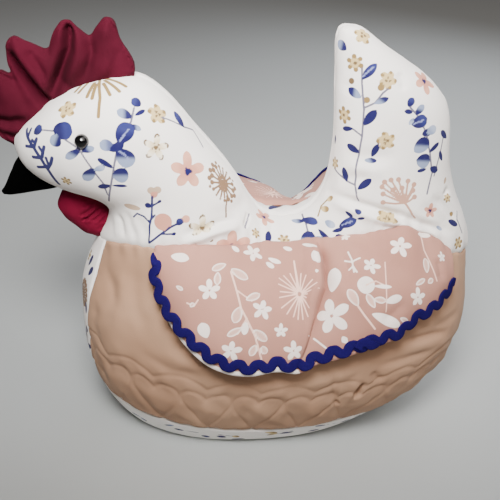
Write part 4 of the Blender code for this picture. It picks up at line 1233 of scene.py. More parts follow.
# The print on the chest; points are y and height.
GUSSET_DANDELION = ((-11.5, 71.0), 5.6, 6.6)
GUSSET_STEMS = (
    (((-11.5, 65), (-11, 58), (-12, 52)), 0.8, TAN_INK),
    (((9, 78), (10, 64), (7, 50), (9, 36)), 0.8, STEM_GREY),
    (((-15, 52), (-14.5, 42), (-12, 30)), 0.7, STEM_GREY),
)
GUSSET_FLOWERS = (
    ((-3, 87), 3.0, 20, "dots"), ((-1, 58), 5.0, 80, "blush"), ((-4, 40), 3.8, 50, "ochre"),
    ((2, 74), 3.2, 10, "ochre"), ((15, 27), 3.6, 40, "ochre"), ((-2, 24), 5.0, 84, "star"),
)
GUSSET_LEAVES = (
    ((-8, 84), (-9, 90), 3.2, "dark"), ((-12, 81), (-14, 86), 3.2, "dark"),
    ((-17, 62), (-16, 68), 2.8, "dark"), ((-15, 50), (-18, 55), 3.2, "dark"),
    ((-15, 46), (-10, 50), 3.0, "half"), ((-14.5, 40), (-18, 44), 3.2, "dark"),
    ((-13.5, 36), (-9, 37), 2.6, "dark"), ((-12, 30), (-15, 26), 3.2, "half"),
    ((9, 77), (5, 83), 3.2, "dark"), ((9.5, 70), (14, 75), 4.0, "top"),
    ((10, 64), (5, 67), 3.6, "half"), ((9, 57), (14, 61), 4.6, "soft"),
    ((7.5, 51), (3, 48), 3.2, "dark"), ((8, 46), (14, 49), 4.4, "top"),
    ((9, 38), (5, 34), 3.0, "dark"), ((9, 36), (14, 38), 3.4, "pale"),
)


def gusset_share_turn(z, share):
    return gusset_turn(z) * share


near_half = panel_grid(gusset_share_turn, GUSSET_CONTROLS)
far_half = near_half[:, :0:-1] * (1.0, -1.0, 1.0)
near_half[:, 0, 1] = 0.0
whole = np.concatenate((far_half, near_half), axis=1)[:, ::-1]
gusset_grid = finer(whole, GUSSET_ROWS, GUSSET_COLUMNS)
gusset_normals = grid_normals(gusset_grid)
if gusset_normals[GUSSET_ROWS // 2, GUSSET_COLUMNS // 2, 0] > 0:
    gusset_grid = gusset_grid[:, ::-1]
    gusset_normals = grid_normals(gusset_grid)
gusset_outer = roll_edges(gusset_grid, gusset_normals, GUSSET_EDGE)
gusset_outer += gusset_normals * (GUSSET_UNEVENNESS * field(gusset_grid, 20.0, 21))[:, :, None]
gusset_inner = inner_skin(gusset_grid, lambda column, point: AXIS_LOW[0])
gusset = padded_panel("floral_chest_gusset", gusset_outer, gusset_inner, PANEL_STEP)


class FrontPrint(Print):
    """The print on the chest, placed from in front: its points are y and height."""
    upright = np.array((0.0, 0.0, 1.0))

    def spot(self, pixel):
        return cast(self.surface, (-RAY_START, *pixel), (1, 0, 0))


gusset_ink = FrontPrint(gusset)
dandelion(gusset_ink, *GUSSET_DANDELION)
gusset_ink.stems(GUSSET_STEMS)
for point, radius, turn, kind in GUSSET_FLOWERS:
    gusset_ink.flower(gusset_ink.frame(point), radius, turn, kind)
gusset_ink.leaves(GUSSET_LEAVES, 0.6)
gusset_ink.finish()
dress(gusset, floral, "chest_gusset")

# The hem band: the same print, folded under round the open base; the cosy rests on its flat edge.
BAND_COLUMNS = 480
BAND_CONTROLS = 60
BAND_OUTER_ROWS = 20
BAND_INNER_ROWS = 4
BAND_EDGE = 1.8
BAND_FOLD = 2.2
BAND_TUCK = 1.6
BAND_LEAVES = 46


def wall_point(turn, z):
    """A point of the belly's wall, and the way in from it."""
    point = belly_at(turn, max(z, 0.6))
    point[2] = z
    return point, inward(spoke(turn, z)[0], point)


def band_section(turn):
    """The band's outline at a turn, from its top edge outside, down, under, and up inside."""
    top = hem_height(turn)
    rows = []
    for k in range(BAND_OUTER_ROWS + 1):
        z = top * (1 - k / BAND_OUTER_ROWS)
        point, way = wall_point(turn, z)
        past = max(0.0, BAND_EDGE - (top - z))
        low = max(0.0, 1 - z / BAND_FOLD)
        point += way * (BAND_EDGE - math.sqrt(BAND_EDGE**2 - past**2))
        point[:2] += way[:2] * BAND_TUCK * (1 - math.sqrt(1 - low**2))
        rows.append(point)
    for k in range(BAND_INNER_ROWS + 1):
        point, way = wall_point(turn, top * k / BAND_INNER_ROWS)
        rows.append(point + way * WALL)
        if k == 0:
            rows[-1][2] = 0.0
    return rows


controls = np.array([band_section(i / BAND_CONTROLS) for i in range(BAND_CONTROLS + 1)])
weights = smooth_rows(BAND_CONTROLS + 1, BAND_COLUMNS // 2 + 1)
near_band = np.einsum("ri,ijk->rjk", weights, controls)
near_band[(0, -1), :, 1] = 0.0
far_band = near_band[-2:0:-1] * (1.0, -1.0, 1.0)
ring = np.concatenate((near_band, far_band, near_band[:1]))
ring = np.concatenate((ring, ring[:, :1]), axis=1)
build = bmesh.new()
add_skin(build, ring)
seal(build)
band = new_piece("floral_hem_band", build)
band_ink = Print(band)
dice = np.random.default_rng(5)
for k in range(BAND_LEAVES):
    turn = (k + 0.5) / BAND_LEAVES * 2
    place = belly_at(min(turn, 2 - turn), dice.uniform(3.0, 12.0))
    if turn > 1:
        place[1] *= -1
    hit = band_ink.surface.find_nearest(Vector(place))
    place, normal = np.array(hit[0]), np.array(hit[1])
    way = np.cross(normal, (0.0, 0.0, 1.0)) * dice.choice((-1, 1))
    way[2] += dice.uniform(-0.5, 0.5)
    way /= np.linalg.norm(way)
    tip = place + way * dice.uniform(4.0, 8.0)
    kind = str(dice.choice(("dark", "half", "ochre", "dark", "soft")))
    band_ink.leaf((place, normal), (tip, normal), dice.uniform(1.6, 3.4), kind)
    if k % 3 == 0:
        band_ink.stroke([(place, normal), (place - way * 7, normal)], 0.7, STEM_GREY)
band_ink.finish()
dress(band, floral, "hem_band")

# The wings: two layers of pink-beige cotton with a white print, sewn in the wing seam and free below.
# The near one stands off the side and has one deep pleat; the far one stands out nearly level.
WING_THICKNESS = 2.4
WING_FULLNESS = 0.35
WING_UNEVENNESS = 0.5
WING_GATHER = 0.3
WING_EDGE = 1.6
WING_GAP = 0.3
WING_SEAM_PULL = 1.4
# Place on the seam, length, droop of the near and of the far wing, forward slant.
WING_SECTIONS = (
    (-45.0, 11.0, 66.0, 8.0, 0.0), (-42.0, 29.0, 60.0, 14.0, 1.0), (-33.0, 45.0, 54.0, 17.0, 1.0),
    (-23.0, 54.0, 52.0, 16.0, 1.0), (-9.0, 59.0, 47.0, 14.5, 0.0), (14.0, 61.5, 39.0, 16.5, 0.0),
    (25.0, 60.0, 39.5, 27.0, 0.0), (38.0, 56.5, 41.0, 24.0, 0.0), (53.0, 52.0, 47.0, 13.0, 0.0),
    (66.0, 48.0, 52.0, 9.0, 0.0), (82.0, 34.0, 55.0, 9.0, 0.0), (93.0, 16.5, 55.0, 11.0, 0.0),
)
WING_CONTROLS = 26
WING_CONTROL_ROWS = 8
WING_BULGE = {"left": 0.13, "right": 0.05}
WING_CLEARANCE = 3.2
WING_FINE = {"left": (153, 385), "right": (105, 257)}
WING_STEP = 4
PLEAT_TOP_X = 29.5
PLEAT_LOW_X = 18.0
PLEAT_DEPTH = 3.0
PLEAT_SPREAD = 5.0
PLEAT_RISE = 4.0
PLEAT_FRONT = 7.5
PLEAT_BACK = 4.8
# The soft ridge behind the pleat: height, how far behind, width.
PLEAT_RIDGE = (1.2, 15.0, 6.0)
PLEAT_LIP = 0.5
FAR_DIP = 2.0
# The pleat's line on the near wing: share of the way down, x.
PLEAT_LINE = ((0.0, 29.0), (0.25, 30.0), (0.45, 29.0), (0.65, 24.0), (0.85, 18.5), (1.0, 14.0))
# Folds from the near wing's seam: depth, x at the seam, shift of x to the free edge, width, share of
# the way down.
WING_FOLDS = ((1.3, 52.0, 8.0, 4.0, 0.6), (1.0, 78.0, 6.0, 5.0, 0.7))
# Soft folds in the near wing: pixels, width, depth in mm.
WING_CREASES = (
    (((340, 250), (352, 272), (366, 296), (380, 318)), 3.4, 1.3),
    (((330, 262), (342, 286), (356, 308)), 4.0, -1.0),
    (((428, 236), (436, 258), (440, 282)), 2.6, 1.2),
    (((404, 300), (394, 312), (380, 322)), 3.0, 1.1),
    (((345, 243), (372, 246), (400, 243)), 3.0, 0.9),
    (((316, 250), (321, 258), (319, 266)), 3.0, 1.6),
    (((345, 258), (347, 276), (352, 296)), 2.0, 1.0),
    (((200, 252), (212, 280), (222, 310)), 5.0, 0.6),
    (((262, 250), (270, 290), (268, 330)), 6.0, 0.6),
    (((390, 262), (408, 276), (420, 290)), 3.5, 0.8),
)


def catmull_rows(count, fine):
    """Weights that put a finer row on a smooth curve through a row of control values."""
    weights = np.zeros((fine, count))
    for i in range(fine):
        place = i / (fine - 1) * (count - 1)
        k = min(int(place), count - 2)
        t = place - k
        shares = (-t / 2 + t**2 - t**3 / 2, 1 - 2.5 * t**2 + 1.5 * t**3,
                  t / 2 + 2 * t**2 - 1.5 * t**3, -t**2 / 2 + t**3 / 2)
        for j, share in enumerate(shares):
            weights[i, min(max(k - 1 + j, 0), count - 1)] += share
    return weights


def wing_controls(side):
    """Control points of a wing's middle layer on the near side, from the free edge up to the seam."""
    columns = []
    sections = catmull_rows(len(WING_SECTIONS), WING_CONTROLS + 1) @ np.array(WING_SECTIONS)
    for x, length, near_droop, far_droop, slant in sections:
        droop = math.radians(near_droop if side == "left" else far_droop)
        z = float(np.interp(x, *zip(*SEAM_LINE)))
        seam, normal = cast(belly_surface, (x, -RAY_START, z), (0, 1, 0))
        start = seam + normal * (WING_THICKNESS / 2 + WING_GAP)
        run = np.array((slant, -math.cos(droop) * length, -math.sin(droop) * length))
        lift = np.array((0.0, -math.sin(droop), math.cos(droop)))
        column = []
        for k in range(WING_CONTROL_ROWS, -1, -1):
            v = k / WING_CONTROL_ROWS
            pleat_x = PLEAT_TOP_X + (PLEAT_LOW_X - PLEAT_TOP_X) * v
            dip = math.exp(-((x - pleat_x) / PLEAT_SPREAD) ** 2) * min(4 * v, 1.0)
            rise = length * WING_BULGE[side] * 4 * v * (1 - v) - PLEAT_DEPTH * dip
            point = start + run * v + lift * rise
            if k:
                place, out, _, _ = belly_surface.find_nearest(Vector(point))
                height = float((point - np.array(place)) @ np.array(out))
                clear = WING_THICKNESS / 2 + WING_GAP + WING_CLEARANCE * min(1.0, 3 * v)
                point += np.array(out) * max(clear - height, 0.0)
            column.append(point)
        columns.append(column)
    return np.array(columns).transpose(1, 0, 2)


def wing_layers(side):
    """The wing's outer and under faces on the near side, with its folds, and its middle layer."""
    rows, columns = WING_FINE[side]
    controls = wing_controls(side)
    middle = np.einsum("ri,ijk,cj->rck", catmull_rows(controls.shape[0], rows), controls,
                       catmull_rows(controls.shape[1], columns))
    normals = grid_normals(middle)
    v = np.linspace(1.0, 0.0, rows)[:, None]
    x = middle[:, :, 0]
    off = x - np.interp(v, *zip(*PLEAT_LINE))
    if side == "left":
        fade = np.clip((v - 0.03) / 0.12, 0, 1) * np.clip((0.95 - v) / 0.4, 0.0, 1.0)
        front, back = np.exp(-(off / PLEAT_FRONT) ** 2), -np.exp(-(off / PLEAT_BACK) ** 2)
        fold = PLEAT_RISE * np.where(off < 0, front, back)
        fold += np.where(np.abs(off) < PLEAT_LIP, -PLEAT_RISE * off / PLEAT_LIP - fold, 0.0)
        height, behind, width = PLEAT_RIDGE
        lift = (fold + height * np.exp(-((off - behind) / width) ** 2)) * fade
        for depth, start, shift, width, end in WING_FOLDS:
            reach = np.clip((end - v) / 0.4, 0, 1)
            lift -= depth * np.exp(-((x - start - shift * v) / width) ** 2) * reach
    else:
        lift = -FAR_DIP * np.exp(-(off / PLEAT_SPREAD) ** 2)
        lift *= np.clip(v / 0.2, 0, 1) * np.clip(1.2 - v, 0, 1)
    lift += WING_UNEVENNESS * field(middle, 26.0, 31) * np.clip(v / 0.15, 0, 1)
    lift += WING_GATHER * np.sin(x * 0.9 + 3 * np.sin(x * 0.21)) * np.exp(-v / 0.08)
    middle = middle + normals * lift[:, :, None]
    if side == "left":
        flat = press(middle.reshape(-1, 3), normals.reshape(-1, 3), grid_tree(middle), WING_CREASES)
        middle = flat.reshape(middle.shape)
    middle[-1] -= normals[-1] * WING_SEAM_PULL
    middle[-2] -= normals[-2] * WING_SEAM_PULL * 0.6
    normals = grid_normals(middle)
    down, along = run_along(middle), run_along(middle, axis=1)
    gap = np.minimum(np.minimum(down, along), along[:, -1:] - along)
    near = np.clip(1 - gap / WING_EDGE, 0.0, 1.0)
    half = WING_THICKNESS / 2 * np.sqrt(np.maximum(1 - near**2, 0.05))
    half = (half + WING_FULLNESS * np.clip((gap - 4) / 6, 0, 1))[:, :, None]
    return middle + normals * half, middle - normals * half, middle, normals


WHITE_INK = linear("#F1E5DE")[:3]
VEIN_INK = linear("#EFC7B6")[:3]
LEAF_TONES["white"] = (WHITE_INK, WHITE_INK)
LEAF_TONES["vein"] = (WHITE_INK, linear("#D4AB9C")[:3])
WING_STEMS = (
    (((222, 244), (231, 272), (241, 308), (255, 336), (262, 362)), 0.9, VEIN_INK),
    (((238, 291), (246, 297), (252, 301)), 0.7, VEIN_INK),
    (((247, 318), (242, 326), (238, 334)), 0.6, VEIN_INK),
    (((294, 261), (296, 275), (298, 289)), 0.8, VEIN_INK),
    (((356, 303), (365, 316), (375, 329)), 0.9, VEIN_INK),
    (((309, 336), (317, 341), (326, 348)), 0.9, WHITE_INK),
    (((418, 231), (424, 250), (432, 267), (437, 281)), 0.8, VEIN_INK),
    (((366, 285), (376, 281), (386, 286)), 0.6, VEIN_INK),
    (((385, 262), (386, 280), (386, 312)), 0.5, VEIN_INK),
    (((348, 252), (352, 260), (354, 272)), 0.8, WHITE_INK),
    (((345, 261), (352, 262), (360, 258)), 0.8, WHITE_INK),
    (((349, 270), (353, 266), (357, 272)), 0.8, WHITE_INK),
    (((187, 303), (194, 306), (198, 300)), 0.7, VEIN_INK),
)
PALE_EDGE_COLUMNS = 176
PALE_EDGE_STEP = 16
PALE_EDGE_WIDTH = 5.6
WING_LEAVES = (
    ((226, 264), (212, 270), 3.4, "vein"), ((218, 272), (217, 285), 3.2, "vein"),
    ((231, 269), (248, 279), 4.4, "vein"), ((246, 300), (260, 294), 3.4, "vein"),
    ((240, 307), (234, 323), 4.6, "vein"), ((246, 322), (244, 335), 3.2, "white"),
    ((242, 328), (227, 336), 3.0, "vein"), ((254, 330), (267, 341), 3.8, "vein"),
    ((262, 346), (266, 354), 3.2, "vein"), ((256, 345), (250, 356), 3.4, "vein"),
    ((171, 256), (189, 259), 4.4, "white"), ((266, 262), (274, 268), 2.6, "white"),
    ((268, 258), (281, 263), 2.6, "white"), ((207, 338), (201, 323), 5.4, "white"),
    ((332, 292), (335, 268), 7.4, "white"), ((358, 306), (348, 289), 4.6, "vein"),
    ((375, 308), (367, 294), 3.4, "vein"), ((374, 299), (386, 301), 3.0, "vein"),
    ((386, 302), (402, 297), 3.8, "white"), ((372, 314), (400, 326), 4.8, "white"),
    ((342, 342), (347, 338), 3.6, "white"), ((319, 263), (314, 250), 4.6, "white"),
    ((315, 270), (320, 272), 2.4, "white"), ((418, 234), (431, 235), 3.2, "white"),
    ((427, 273), (425, 258), 3.6, "vein"), ((416, 285), (425, 279), 2.4, "vein"),
    ((428, 283), (433, 279), 2.6, "vein"), ((374, 286), (392, 287), 1.8, "white"),
    ((232, 246), (239, 252), 2.8, "white"), ((283, 247), (292, 250), 2.6, "white"),
    ((176, 286), (183, 290), 1.8, "vein"), ((190, 307), (194, 303), 2.0, "vein"),
    ((302, 244), (318, 248), 2.6, "white"), ((400, 318), (408, 322), 2.4, "vein"),
)
WING_FLOWERS = (
    ((209.5, 290.5), 5.0, 90), ((262.5, 309.5), 4.6, 75), ((253, 253), 4.6, 100), ((281, 331), 3.2, 90),
    ((231, 351), 4.8, 80), ((294, 351), 4.4, 95), ((400, 246), 5.2, 80), ((371, 265.5), 4.2, 60),
    ((418, 297.5), 4.4, 90), ((331.5, 316), 8.4, 34), ((442, 257), 2.6, 90), ((345, 237), 2.4, 20),
)
WING_DISC = ((366, 285), 3.9)
WING_BURST_CENTRE = (299.8, 294.0)
WING_BURST = (
    (294, 261), (279, 278), (278.5, 284), (280, 291.5), (279.5, 297.5), (281.5, 308), (287, 314),
    (293.5, 317), (298, 319.5), (303, 319.5), (308, 316.5), (312.5, 311), (316.5, 303), (319, 294.5),
    (319.5, 288), (317, 282.5), (312.5, 279.5), (306, 275), (301, 273.5), (290, 273.5), (283.5, 275.5),
)


def print_wing(ink):
    for spot, radius, turn in WING_FLOWERS:
        ink.petals(ink.frame(spot), radius, turn, "white", 0.08, 0.53, 0.6)
    for tip in WING_BURST:
        start = [centre + (end - centre) * 0.12 for centre, end in zip(WING_BURST_CENTRE, tip)]
        ink.stroke([ink.spot(start), ink.spot(tip)], 0.6, VEIN_INK)
    ink.blot(*WING_DISC, WHITE_INK)
    ink.stems(WING_STEMS)
    ink.leaves(WING_LEAVES, 0.65)


# The pixels that lie over the far wing's middle, and how far out that is.
TOP_SHIFT = (270.0, 300.0)
TOP_MIDDLE_Y = 40.0


class TopPrint(Print):
    """The wing's print on the far wing, read from above."""
    upright = np.array((0.0, 1.0, 0.0))
    least_up = 0.0

    def spot(self, pixel):
        x = (pixel[0] - TOP_SHIFT[0]) * FAR_SCALE
        y = (pixel[1] - TOP_SHIFT[1]) * FAR_SCALE + TOP_MIDDLE_Y
        return cast(self.surface, (x, y, 200.0), (0, 0, -1))


wing_cotton = cotton("printed_wing_cotton", "#B28374", "#A6786A", inked=True)
wings, wing_middles = {}, {}
for side in ("left", "right"):
    top, under, *wing_middles[side] = wing_layers(side)
    wings[side] = padded_panel("wing_" + side + "_cloth", top, under[::WING_STEP, ::WING_STEP], WING_STEP,
                               mirror=side == "right")
near_wing_ink = Print(wings["left"])
print_wing(near_wing_ink)
# The facing shows as a pale edge outside the braid along the near wing's front.
middle, normals = wing_middles["left"]
for first in range(0, PALE_EDGE_COLUMNS, PALE_EDGE_STEP):
    span = slice(first, first + PALE_EDGE_STEP + 1, 4)
    near_wing_ink.stroke(list(zip(middle[0, span], normals[0, span])), PALE_EDGE_WIDTH, WHITE_INK)
near_wing_ink.finish()
far_wing_ink = TopPrint(wings["right"])
print_wing(far_wing_ink)
far_wing_ink.finish()

# Ric-rac: a woven zigzag braid sewn along each wing's free edge, a little in from it. At the front its
# end is turned over, and two lengths overlap near the back.
RICRAC_INSETS = ((0.0, 8.6), (0.12, 9.0), (0.25, 6.8), (0.4, 4.4), (1.0, 3.6))
RICRAC_FACE_OUT = ((0.0, 0.9), (0.15, 0.75), (0.3, 0.35), (0.42, 0.0), (1.0, 0.0))
RICRAC_PITCH = 8.9
RICRAC_SWAY = 1.45
RICRAC_WIDTH = 4.3
RICRAC_THICKNESS = 1.1
RICRAC_STEPS = 24
RICRAC_SIDES = 14
RICRAC_ROUTE = 240
RICRAC_START = 0.012
RICRAC_SHARE = 0.97
RICRAC_MOST_INSET = 0.62
RICRAC_SINK = 0.2
RICRAC_TURN_LIFT = 1.2
RICRAC_EASING = 6
# How pointed its waves are.
RICRAC_POINT = 0.12
# How square the braid's section is, across and through.
RICRAC_BLUNT = (0.55, 0.7)
# Lengths of braid: first and last share of the edge, shift in waves, lift in mm over the first length.
RICRAC_LENGTHS = {"left": ((0.0, 1.0, 0.0, 0.0), (0.665, 0.715, 0.45, 1.0)),
                  "right": ((0.0, 1.0, 0.0, 0.0),)}


def grid_point(grid, row, column):
    """The grid's point at fractional places."""
    i = min(int(row), len(grid) - 2)
    j = min(int(column), len(grid[0]) - 2)
    v, u = row - i, column - j
    low = grid[i][j] * (1 - u) + grid[i][j + 1] * u
    high = grid[i + 1][j] * (1 - u) + grid[i + 1][j + 1] * u
    return low * (1 - v) + high * v


def blunt(value, power):
    """A sine or cosine made blunter, for a section between an oval and a box."""
    return math.copysign(abs(value) ** power, value)


def braid_rings(centre, up, sway):
    """Rings round a flat braid that sways from side to side of its line."""
    ahead = np.gradient(centre, axis=0)
    ahead /= np.linalg.norm(ahead, axis=1, keepdims=True)
    up = up - ahead * np.sum(up * ahead, axis=1, keepdims=True)
    up /= np.linalg.norm(up, axis=1, keepdims=True)
    centre = centre + np.cross(ahead, up) * sway[:, None]
    lie = np.gradient(centre, axis=0)
    lie /= np.linalg.norm(lie, axis=1, keepdims=True)
    broad = np.cross(lie, up)
    profile = []
    for k in range(RICRAC_SIDES):
        angle = 2 * math.pi * (k + 0.5) / RICRAC_SIDES
        profile.append((blunt(math.cos(angle), RICRAC_BLUNT[0]) * RICRAC_WIDTH / 2,
                        blunt(math.sin(angle), RICRAC_BLUNT[1]) * RICRAC_THICKNESS / 2))
    return np.array([centre + broad * u + up * w for u, w in profile]).transpose(1, 0, 2)


def ricrac_piece(side):
    middle, normals = wing_middles[side]
    rows, columns = middle.shape[:2]
    rise = WING_THICKNESS / 2 + WING_FULLNESS + RICRAC_THICKNESS / 2 - RICRAC_SINK
    face = middle + normals * rise
    drops = run_along(middle)[-1]
    route = []
    for i in range(RICRAC_ROUTE):
        column = columns * (RICRAC_START + RICRAC_SHARE * i / (RICRAC_ROUTE - 1))
        drop = float(np.interp(column, np.arange(columns), drops))
        inset = float(np.interp(column / columns, *zip(*RICRAC_INSETS)))
        row = (rows - 1) * min(inset / drop, RICRAC_MOST_INSET)
        route.append(np.concatenate((grid_point(face, row, column), grid_point(normals, row, column))))
    route = np.array(route)
    run = run_along(route[:, :3])
    waves = round(run[-1] / RICRAC_PITCH)
    build = bmesh.new()
    for first, last, shift, lift in RICRAC_LENGTHS[side]:
        count = round(waves * RICRAC_STEPS * (last - first))
        marks = np.linspace(first, last, count + 1) * run[-1]
        line = np.stack([np.interp(marks, run, route[:, k]) for k in range(6)], axis=1)
        centre, up = line[:, :3], line[:, 3:]
        turned = np.interp(marks / run[-1], *zip(*RICRAC_FACE_OUT))[:, None]
        centre += up * (lift + RICRAC_TURN_LIFT * turned)
        up = up + turned * (0.0, -1.0, 0.25)
        for _ in range(RICRAC_EASING):
            centre[1:-1] = (centre[:-2] + centre[1:-1] * 2 + centre[2:]) / 4
        phase = 2 * math.pi * (marks / run[-1] * waves + shift)
        sway = RICRAC_SWAY * (np.sin(phase) + RICRAC_POINT * np.sin(3 * phase))
        rings = braid_rings(centre, up, sway)
        if side == "right":
            rings = rings * (1.0, -1.0, 1.0)
        add_skin(build, np.concatenate((rings, rings[:, :1]), axis=1))
    seal(build)
    return new_piece("ricrac_" + side + "_braid", build)


braid = fibres("ricrac_polyester_braid", "#140840", "#1C0F56", 1400.0, 2.0, 0.5, 0.3 * MM, 0.85, 0.06)
for side in ("left", "right"):
    trim = ricrac_piece(side)
    dress(trim, braid, "ricrac_" + side)
    dress(wings[side], wing_cotton, "wing_" + side)
    middle = wing_middles[side][0]

# The comb: two layers of burgundy cotton cut to four points, turned, lightly stuffed and sewn in the
# head seam. Its cloth is pinched in deep folds between the points.
COMB_OUTLINE = (
    (-100.0, 143.0, False), (-109.5, 145.5, False), (-117.5, 157.0, False), (-115.5, 170.0, False),
    (-111.0, 179.5, False), (-103.6, 175.0, True), (-105.8, 186.0, False), (-102.5, 194.3, False),
    (-97.5, 192.5, False), (-88.0, 187.6, True), (-83.5, 197.5, False), (-79.0, 200.6, False),
    (-74.5, 197.0, False), (-69.5, 192.6, True), (-66.0, 197.8, False), (-61.0, 201.3, False),
    (-56.5, 192.0, False), (-51.0, 177.5, False), (-60.0, 166.0, False), (-85.0, 158.0, False),
)
COMB_PLATE = 3.0
COMB_EDGE = 0.7
COMB_FULLNESS = 5.0
COMB_ROUNDING = 12.0
COMB_CELL = 0.9
COMB_FAR_SHARE = 0.4
COMB_WAVE = 1.6
# Wrinkles: depth, length, seed, and how far in from the edge they are whole.
COMB_WRINKLES = ((0.5, 12.0, 41, 4.0), (0.28, 5.5, 44, 3.0))
# Folds: path in the middle plane (x, z), width, depth on the near face.
COMB_FOLDS = (
    (((-77.5, 200.0), (-79.0, 188.0), (-83.5, 178.0), (-88.0, 168.0)), 2.3, 7.4),
    (((-74.0, 194.0), (-75.0, 186.0), (-80.0, 175.0)), 3.0, -1.2),
    (((-104.5, 187.0), (-97.0, 174.0), (-87.0, 160.0)), 2.1, 7.0),
    (((-100.0, 189.0), (-93.0, 177.0), (-86.0, 168.0)), 3.0, -1.2),
    (((-70.0, 196.0), (-69.0, 187.0), (-72.0, 177.0)), 1.8, 2.2),
    (((-95.0, 187.0), (-90.5, 179.0), (-89.0, 170.0)), 1.6, 1.8),
    (((-82.0, 174.0), (-75.0, 169.0), (-66.0, 168.0)), 2.2, 1.4),
    (((-117.0, 158.0), (-108.0, 156.5), (-100.0, 158.0)), 2.0, 3.4),
    (((-115.0, 151.0), (-107.0, 149.5), (-101.0, 151.0)), 1.4, 2.4),
    (((-104.0, 175.0), (-101.0, 169.0), (-99.0, 162.0)), 2.6, 1.2),
    (((-88.0, 187.0), (-88.5, 180.0), (-92.0, 172.0)), 3.2, -1.2),
    (((-62.0, 196.0), (-62.0, 186.0), (-66.0, 176.0)), 4.0, -1.4),
    (((-58.0, 186.0), (-62.0, 176.0), (-72.0, 170.0)), 2.4, 1.0),
)
curve = bpy.data.curves.new("comb_outline", "CURVE")
curve.dimensions = "2D"
curve.fill_mode = "BOTH"
curve.extrude = COMB_PLATE * MM
curve.resolution_u = 8
spline = curve.splines.new("BEZIER")
spline.use_cyclic_u = True
spline.bezier_points.add(len(COMB_OUTLINE) - 1)
for knot, (x, z, sharp) in zip(spline.bezier_points, COMB_OUTLINE):
    knot.co = (x * MM, z * MM, 0.0)
    knot.handle_left_type = knot.handle_right_type = "VECTOR" if sharp else "AUTO"
flat_comb = bpy.data.objects.new("comb_flat", curve)
bpy.context.scene.collection.objects.link(flat_comb)
select_only(flat_comb)
bpy.ops.object.convert(target="MESH")
comb = bpy.context.object
comb.name = "comb_cloth"
places = np.array([vertex.co for vertex in comb.data.vertices]) / MM
place_at(comb, np.stack((places[:, 0], -places[:, 2], places[:, 1]), axis=1))
build = bmesh.new()
build.from_mesh(comb.data)
bmesh.ops.remove_doubles(build, verts=build.verts, dist=0.01 * MM)
bmesh.ops.recalc_face_normals(build, faces=build.faces)
build.to_mesh(comb.data)
build.free()
work_in(comb, "REMESH", mode="VOXEL", voxel_size=COMB_CELL * MM)
work_in(comb, "SMOOTH", factor=0.5, iterations=4)
places = places_of(comb)
flat_places = places * (1.0, 0.0, 1.0)
outline = [(x, 0.0, z) for x, z, _ in COMB_OUTLINE]
depth, _ = along_path(flat_places, outline + outline[:1])
roundness = 1 - (1 - np.clip(depth / COMB_ROUNDING, 0.0, 1.0)) ** 2
places[:, 1] *= (COMB_EDGE + COMB_FULLNESS * np.sqrt(roundness)) / COMB_PLATE
for path, width, depth_in in COMB_FOLDS:
    gap, share = along_path(flat_places, [(x, 0.0, z) for x, z in path])
    dip = np.exp(-(gap / width) ** 2) * np.clip(depth / 3, 0, 1) * np.clip((1.1 - share) * 3, 0, 1)
    places[:, 1] += np.where(places[:, 1] < 0, depth_in, -COMB_FAR_SHARE * depth_in) * dip
for height, length, seed, rim_width in COMB_WRINKLES:
    places[:, 1] += height * ripple(places, length, seed) * np.clip(depth / rim_width, 0, 1)
places[:, 1] += COMB_WAVE * np.sin((places[:, 0] + 90) / 13.0) * np.clip((places[:, 2] - 172) / 20, 0, 1)
place_at(comb, places)
work_in(comb, "SUBSURF", levels=1, render_levels=1)
comb.data.shade_smooth()
comb_cotton = cotton("burgundy_cotton", "#480A1E", "#390616", sheen=0.0)
dress(comb, comb_cotton, "comb")

# The wattle: a pouch of crimson cotton, gathered with a few stitches through its middle.
WATTLE_CENTRE = np.array((-77.4, 0.0, 110.2))
WATTLE_HALF_SIZE = (15.5, 9.0, 10.2)
WATTLE_TILT = math.radians(43.0)
WATTLE_BLUNT = 2.7
WATTLE_WRINKLE = 0.25
# Gathers in the pouch: place along it, first and last share of its height, depth.
WATTLE_GATHERS = ((-0.3, 0.15, 0.8, 0.1), (-0.12, -0.2, 0.6, 0.13), (0.05, -0.4, 0.7, 0.15),
                  (0.22, -0.1, 0.75, 0.13), (0.4, 0.1, 0.7, 0.1), (0.58, -0.3, 0.3, 0.08))
bpy.ops.object.select_all(action="DESELECT")
bpy.ops.mesh.primitive_uv_sphere_add(segments=128, ring_count=72, radius=1.0)
wattle = bpy.context.object
wattle.name = "wattle_pouch"
ball = np.array([vertex.co for vertex in wattle.data.vertices])
flat = np.maximum(np.hypot(ball[:, 0], ball[:, 1]), 1e-6)
corners = (np.abs(ball[:, :2] / flat[:, None]) ** WATTLE_BLUNT).sum(axis=1) ** (-1 / WATTLE_BLUNT)
along, tall = ball[:, 0] * corners, ball[:, 1] * corners
waist = np.exp(-(((along - 0.04) / 0.5) ** 2) - ((tall - 0.12) / 0.8) ** 2)
thick = ball[:, 2] * (1 - 0.1 * waist)
for start, first, last, deep in WATTLE_GATHERS:
    lean = along - start - 0.14 * (tall - 0.1)
    reach = np.clip((tall - first) / 0.14, 0, 1) * np.clip((last - tall) / 0.14, 0, 1)
    pinch = np.exp(-(lean / 0.045) ** 2) - 0.4 * np.exp(-((lean - 0.1) / 0.07) ** 2)
    thick = thick * (1 - deep * reach * pinch)
long = along * WATTLE_HALF_SIZE[0] * (1 + 0.03 * np.sin(5 * tall + 1))
tall = tall * WATTLE_HALF_SIZE[2] * (1 - 0.08 * waist)
places = np.stack((
    WATTLE_CENTRE[0] + long * math.cos(WATTLE_TILT) + tall * math.sin(WATTLE_TILT),
    -thick * WATTLE_HALF_SIZE[1],
    WATTLE_CENTRE[2] - long * math.sin(WATTLE_TILT) + tall * math.cos(WATTLE_TILT)), axis=1)
place_at(wattle, places)
build = bmesh.new()
build.from_mesh(wattle.data)
bmesh.ops.recalc_face_normals(build, faces=build.faces)
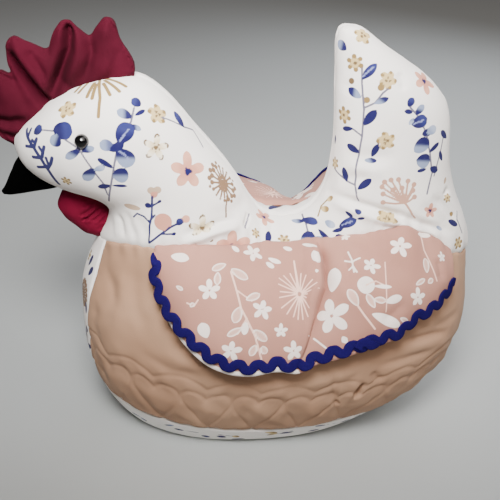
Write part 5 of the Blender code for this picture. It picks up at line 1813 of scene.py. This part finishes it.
build.to_mesh(wattle.data)
build.free()
places, normals = places_of(wattle), normals_of(wattle)
place_at(wattle, places + normals * (WATTLE_WRINKLE * ripple(places, 7.0, 43))[:, None])
wattle.data.shade_smooth()
dress(wattle, cotton("crimson_cotton", "#790F30", "#690D29", sheen=0.0), "wattle")

# The beak: a folded triangle of black wool felt; and the eyes: glossy black beads.
BEAK_SECTIONS = (
    (-96.0, 145.0, -82.0, 130.0, 9.5), (-106.7, 138.8, -89.0, 124.0, 9.0),
    (-111.6, 131.0, -100.0, 121.7, 6.2), (-115.0, 124.5, -111.5, 119.8, 3.2),
    (-117.0, 121.8, -116.0, 119.8, 1.2),
)
BEAK_BLUNT = 0.9
BEAK_CELLS = 32
rings = []
for section in catmull_rows(len(BEAK_SECTIONS), BEAK_CELLS + 1) @ np.array(BEAK_SECTIONS):
    front_x, front_z, rear_x, rear_z, half_width = section
    ring = []
    for k in range(BEAK_CELLS + 1):
        angle = 2 * math.pi * k / BEAK_CELLS
        share = (blunt(math.cos(angle), BEAK_BLUNT) + 1) / 2
        ring.append((rear_x + (front_x - rear_x) * share, blunt(math.sin(angle), BEAK_BLUNT) * half_width,
                     rear_z + (front_z - rear_z) * share))
    rings.append(ring)
build = bmesh.new()
add_skin(build, rings)
seal(build)
beak = new_piece("felt_beak", build)
felt = fibres("black_wool_felt", "#000000", "#020202", 900.0, 4.0, 0.6, 0.4 * MM, 0.97, 0.03)
dress(beak, felt, "beak")

glass, _, shader = new_finish("black_glass_bead")
shader.inputs["Base Color"].default_value = linear("#020203")
shader.inputs["Roughness"].default_value = 0.08
shader.inputs["Coat Weight"].default_value = 0.4
for side in ("left", "right"):
    low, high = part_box("eye_" + side)
    centre = (Vector(low) + Vector(high)) / 2
    bpy.ops.object.select_all(action="DESELECT")
    bpy.ops.mesh.primitive_uv_sphere_add(segments=48, ring_count=28, radius=(high[0] - low[0]) / 2,
                                         location=centre)
    eye = bpy.context.object
    eye.name = "bead_eye_" + side
    bpy.ops.object.transform_apply(location=True, rotation=True, scale=True)
    eye.data.shade_smooth()
    dress(eye, glass, "eye_" + side)
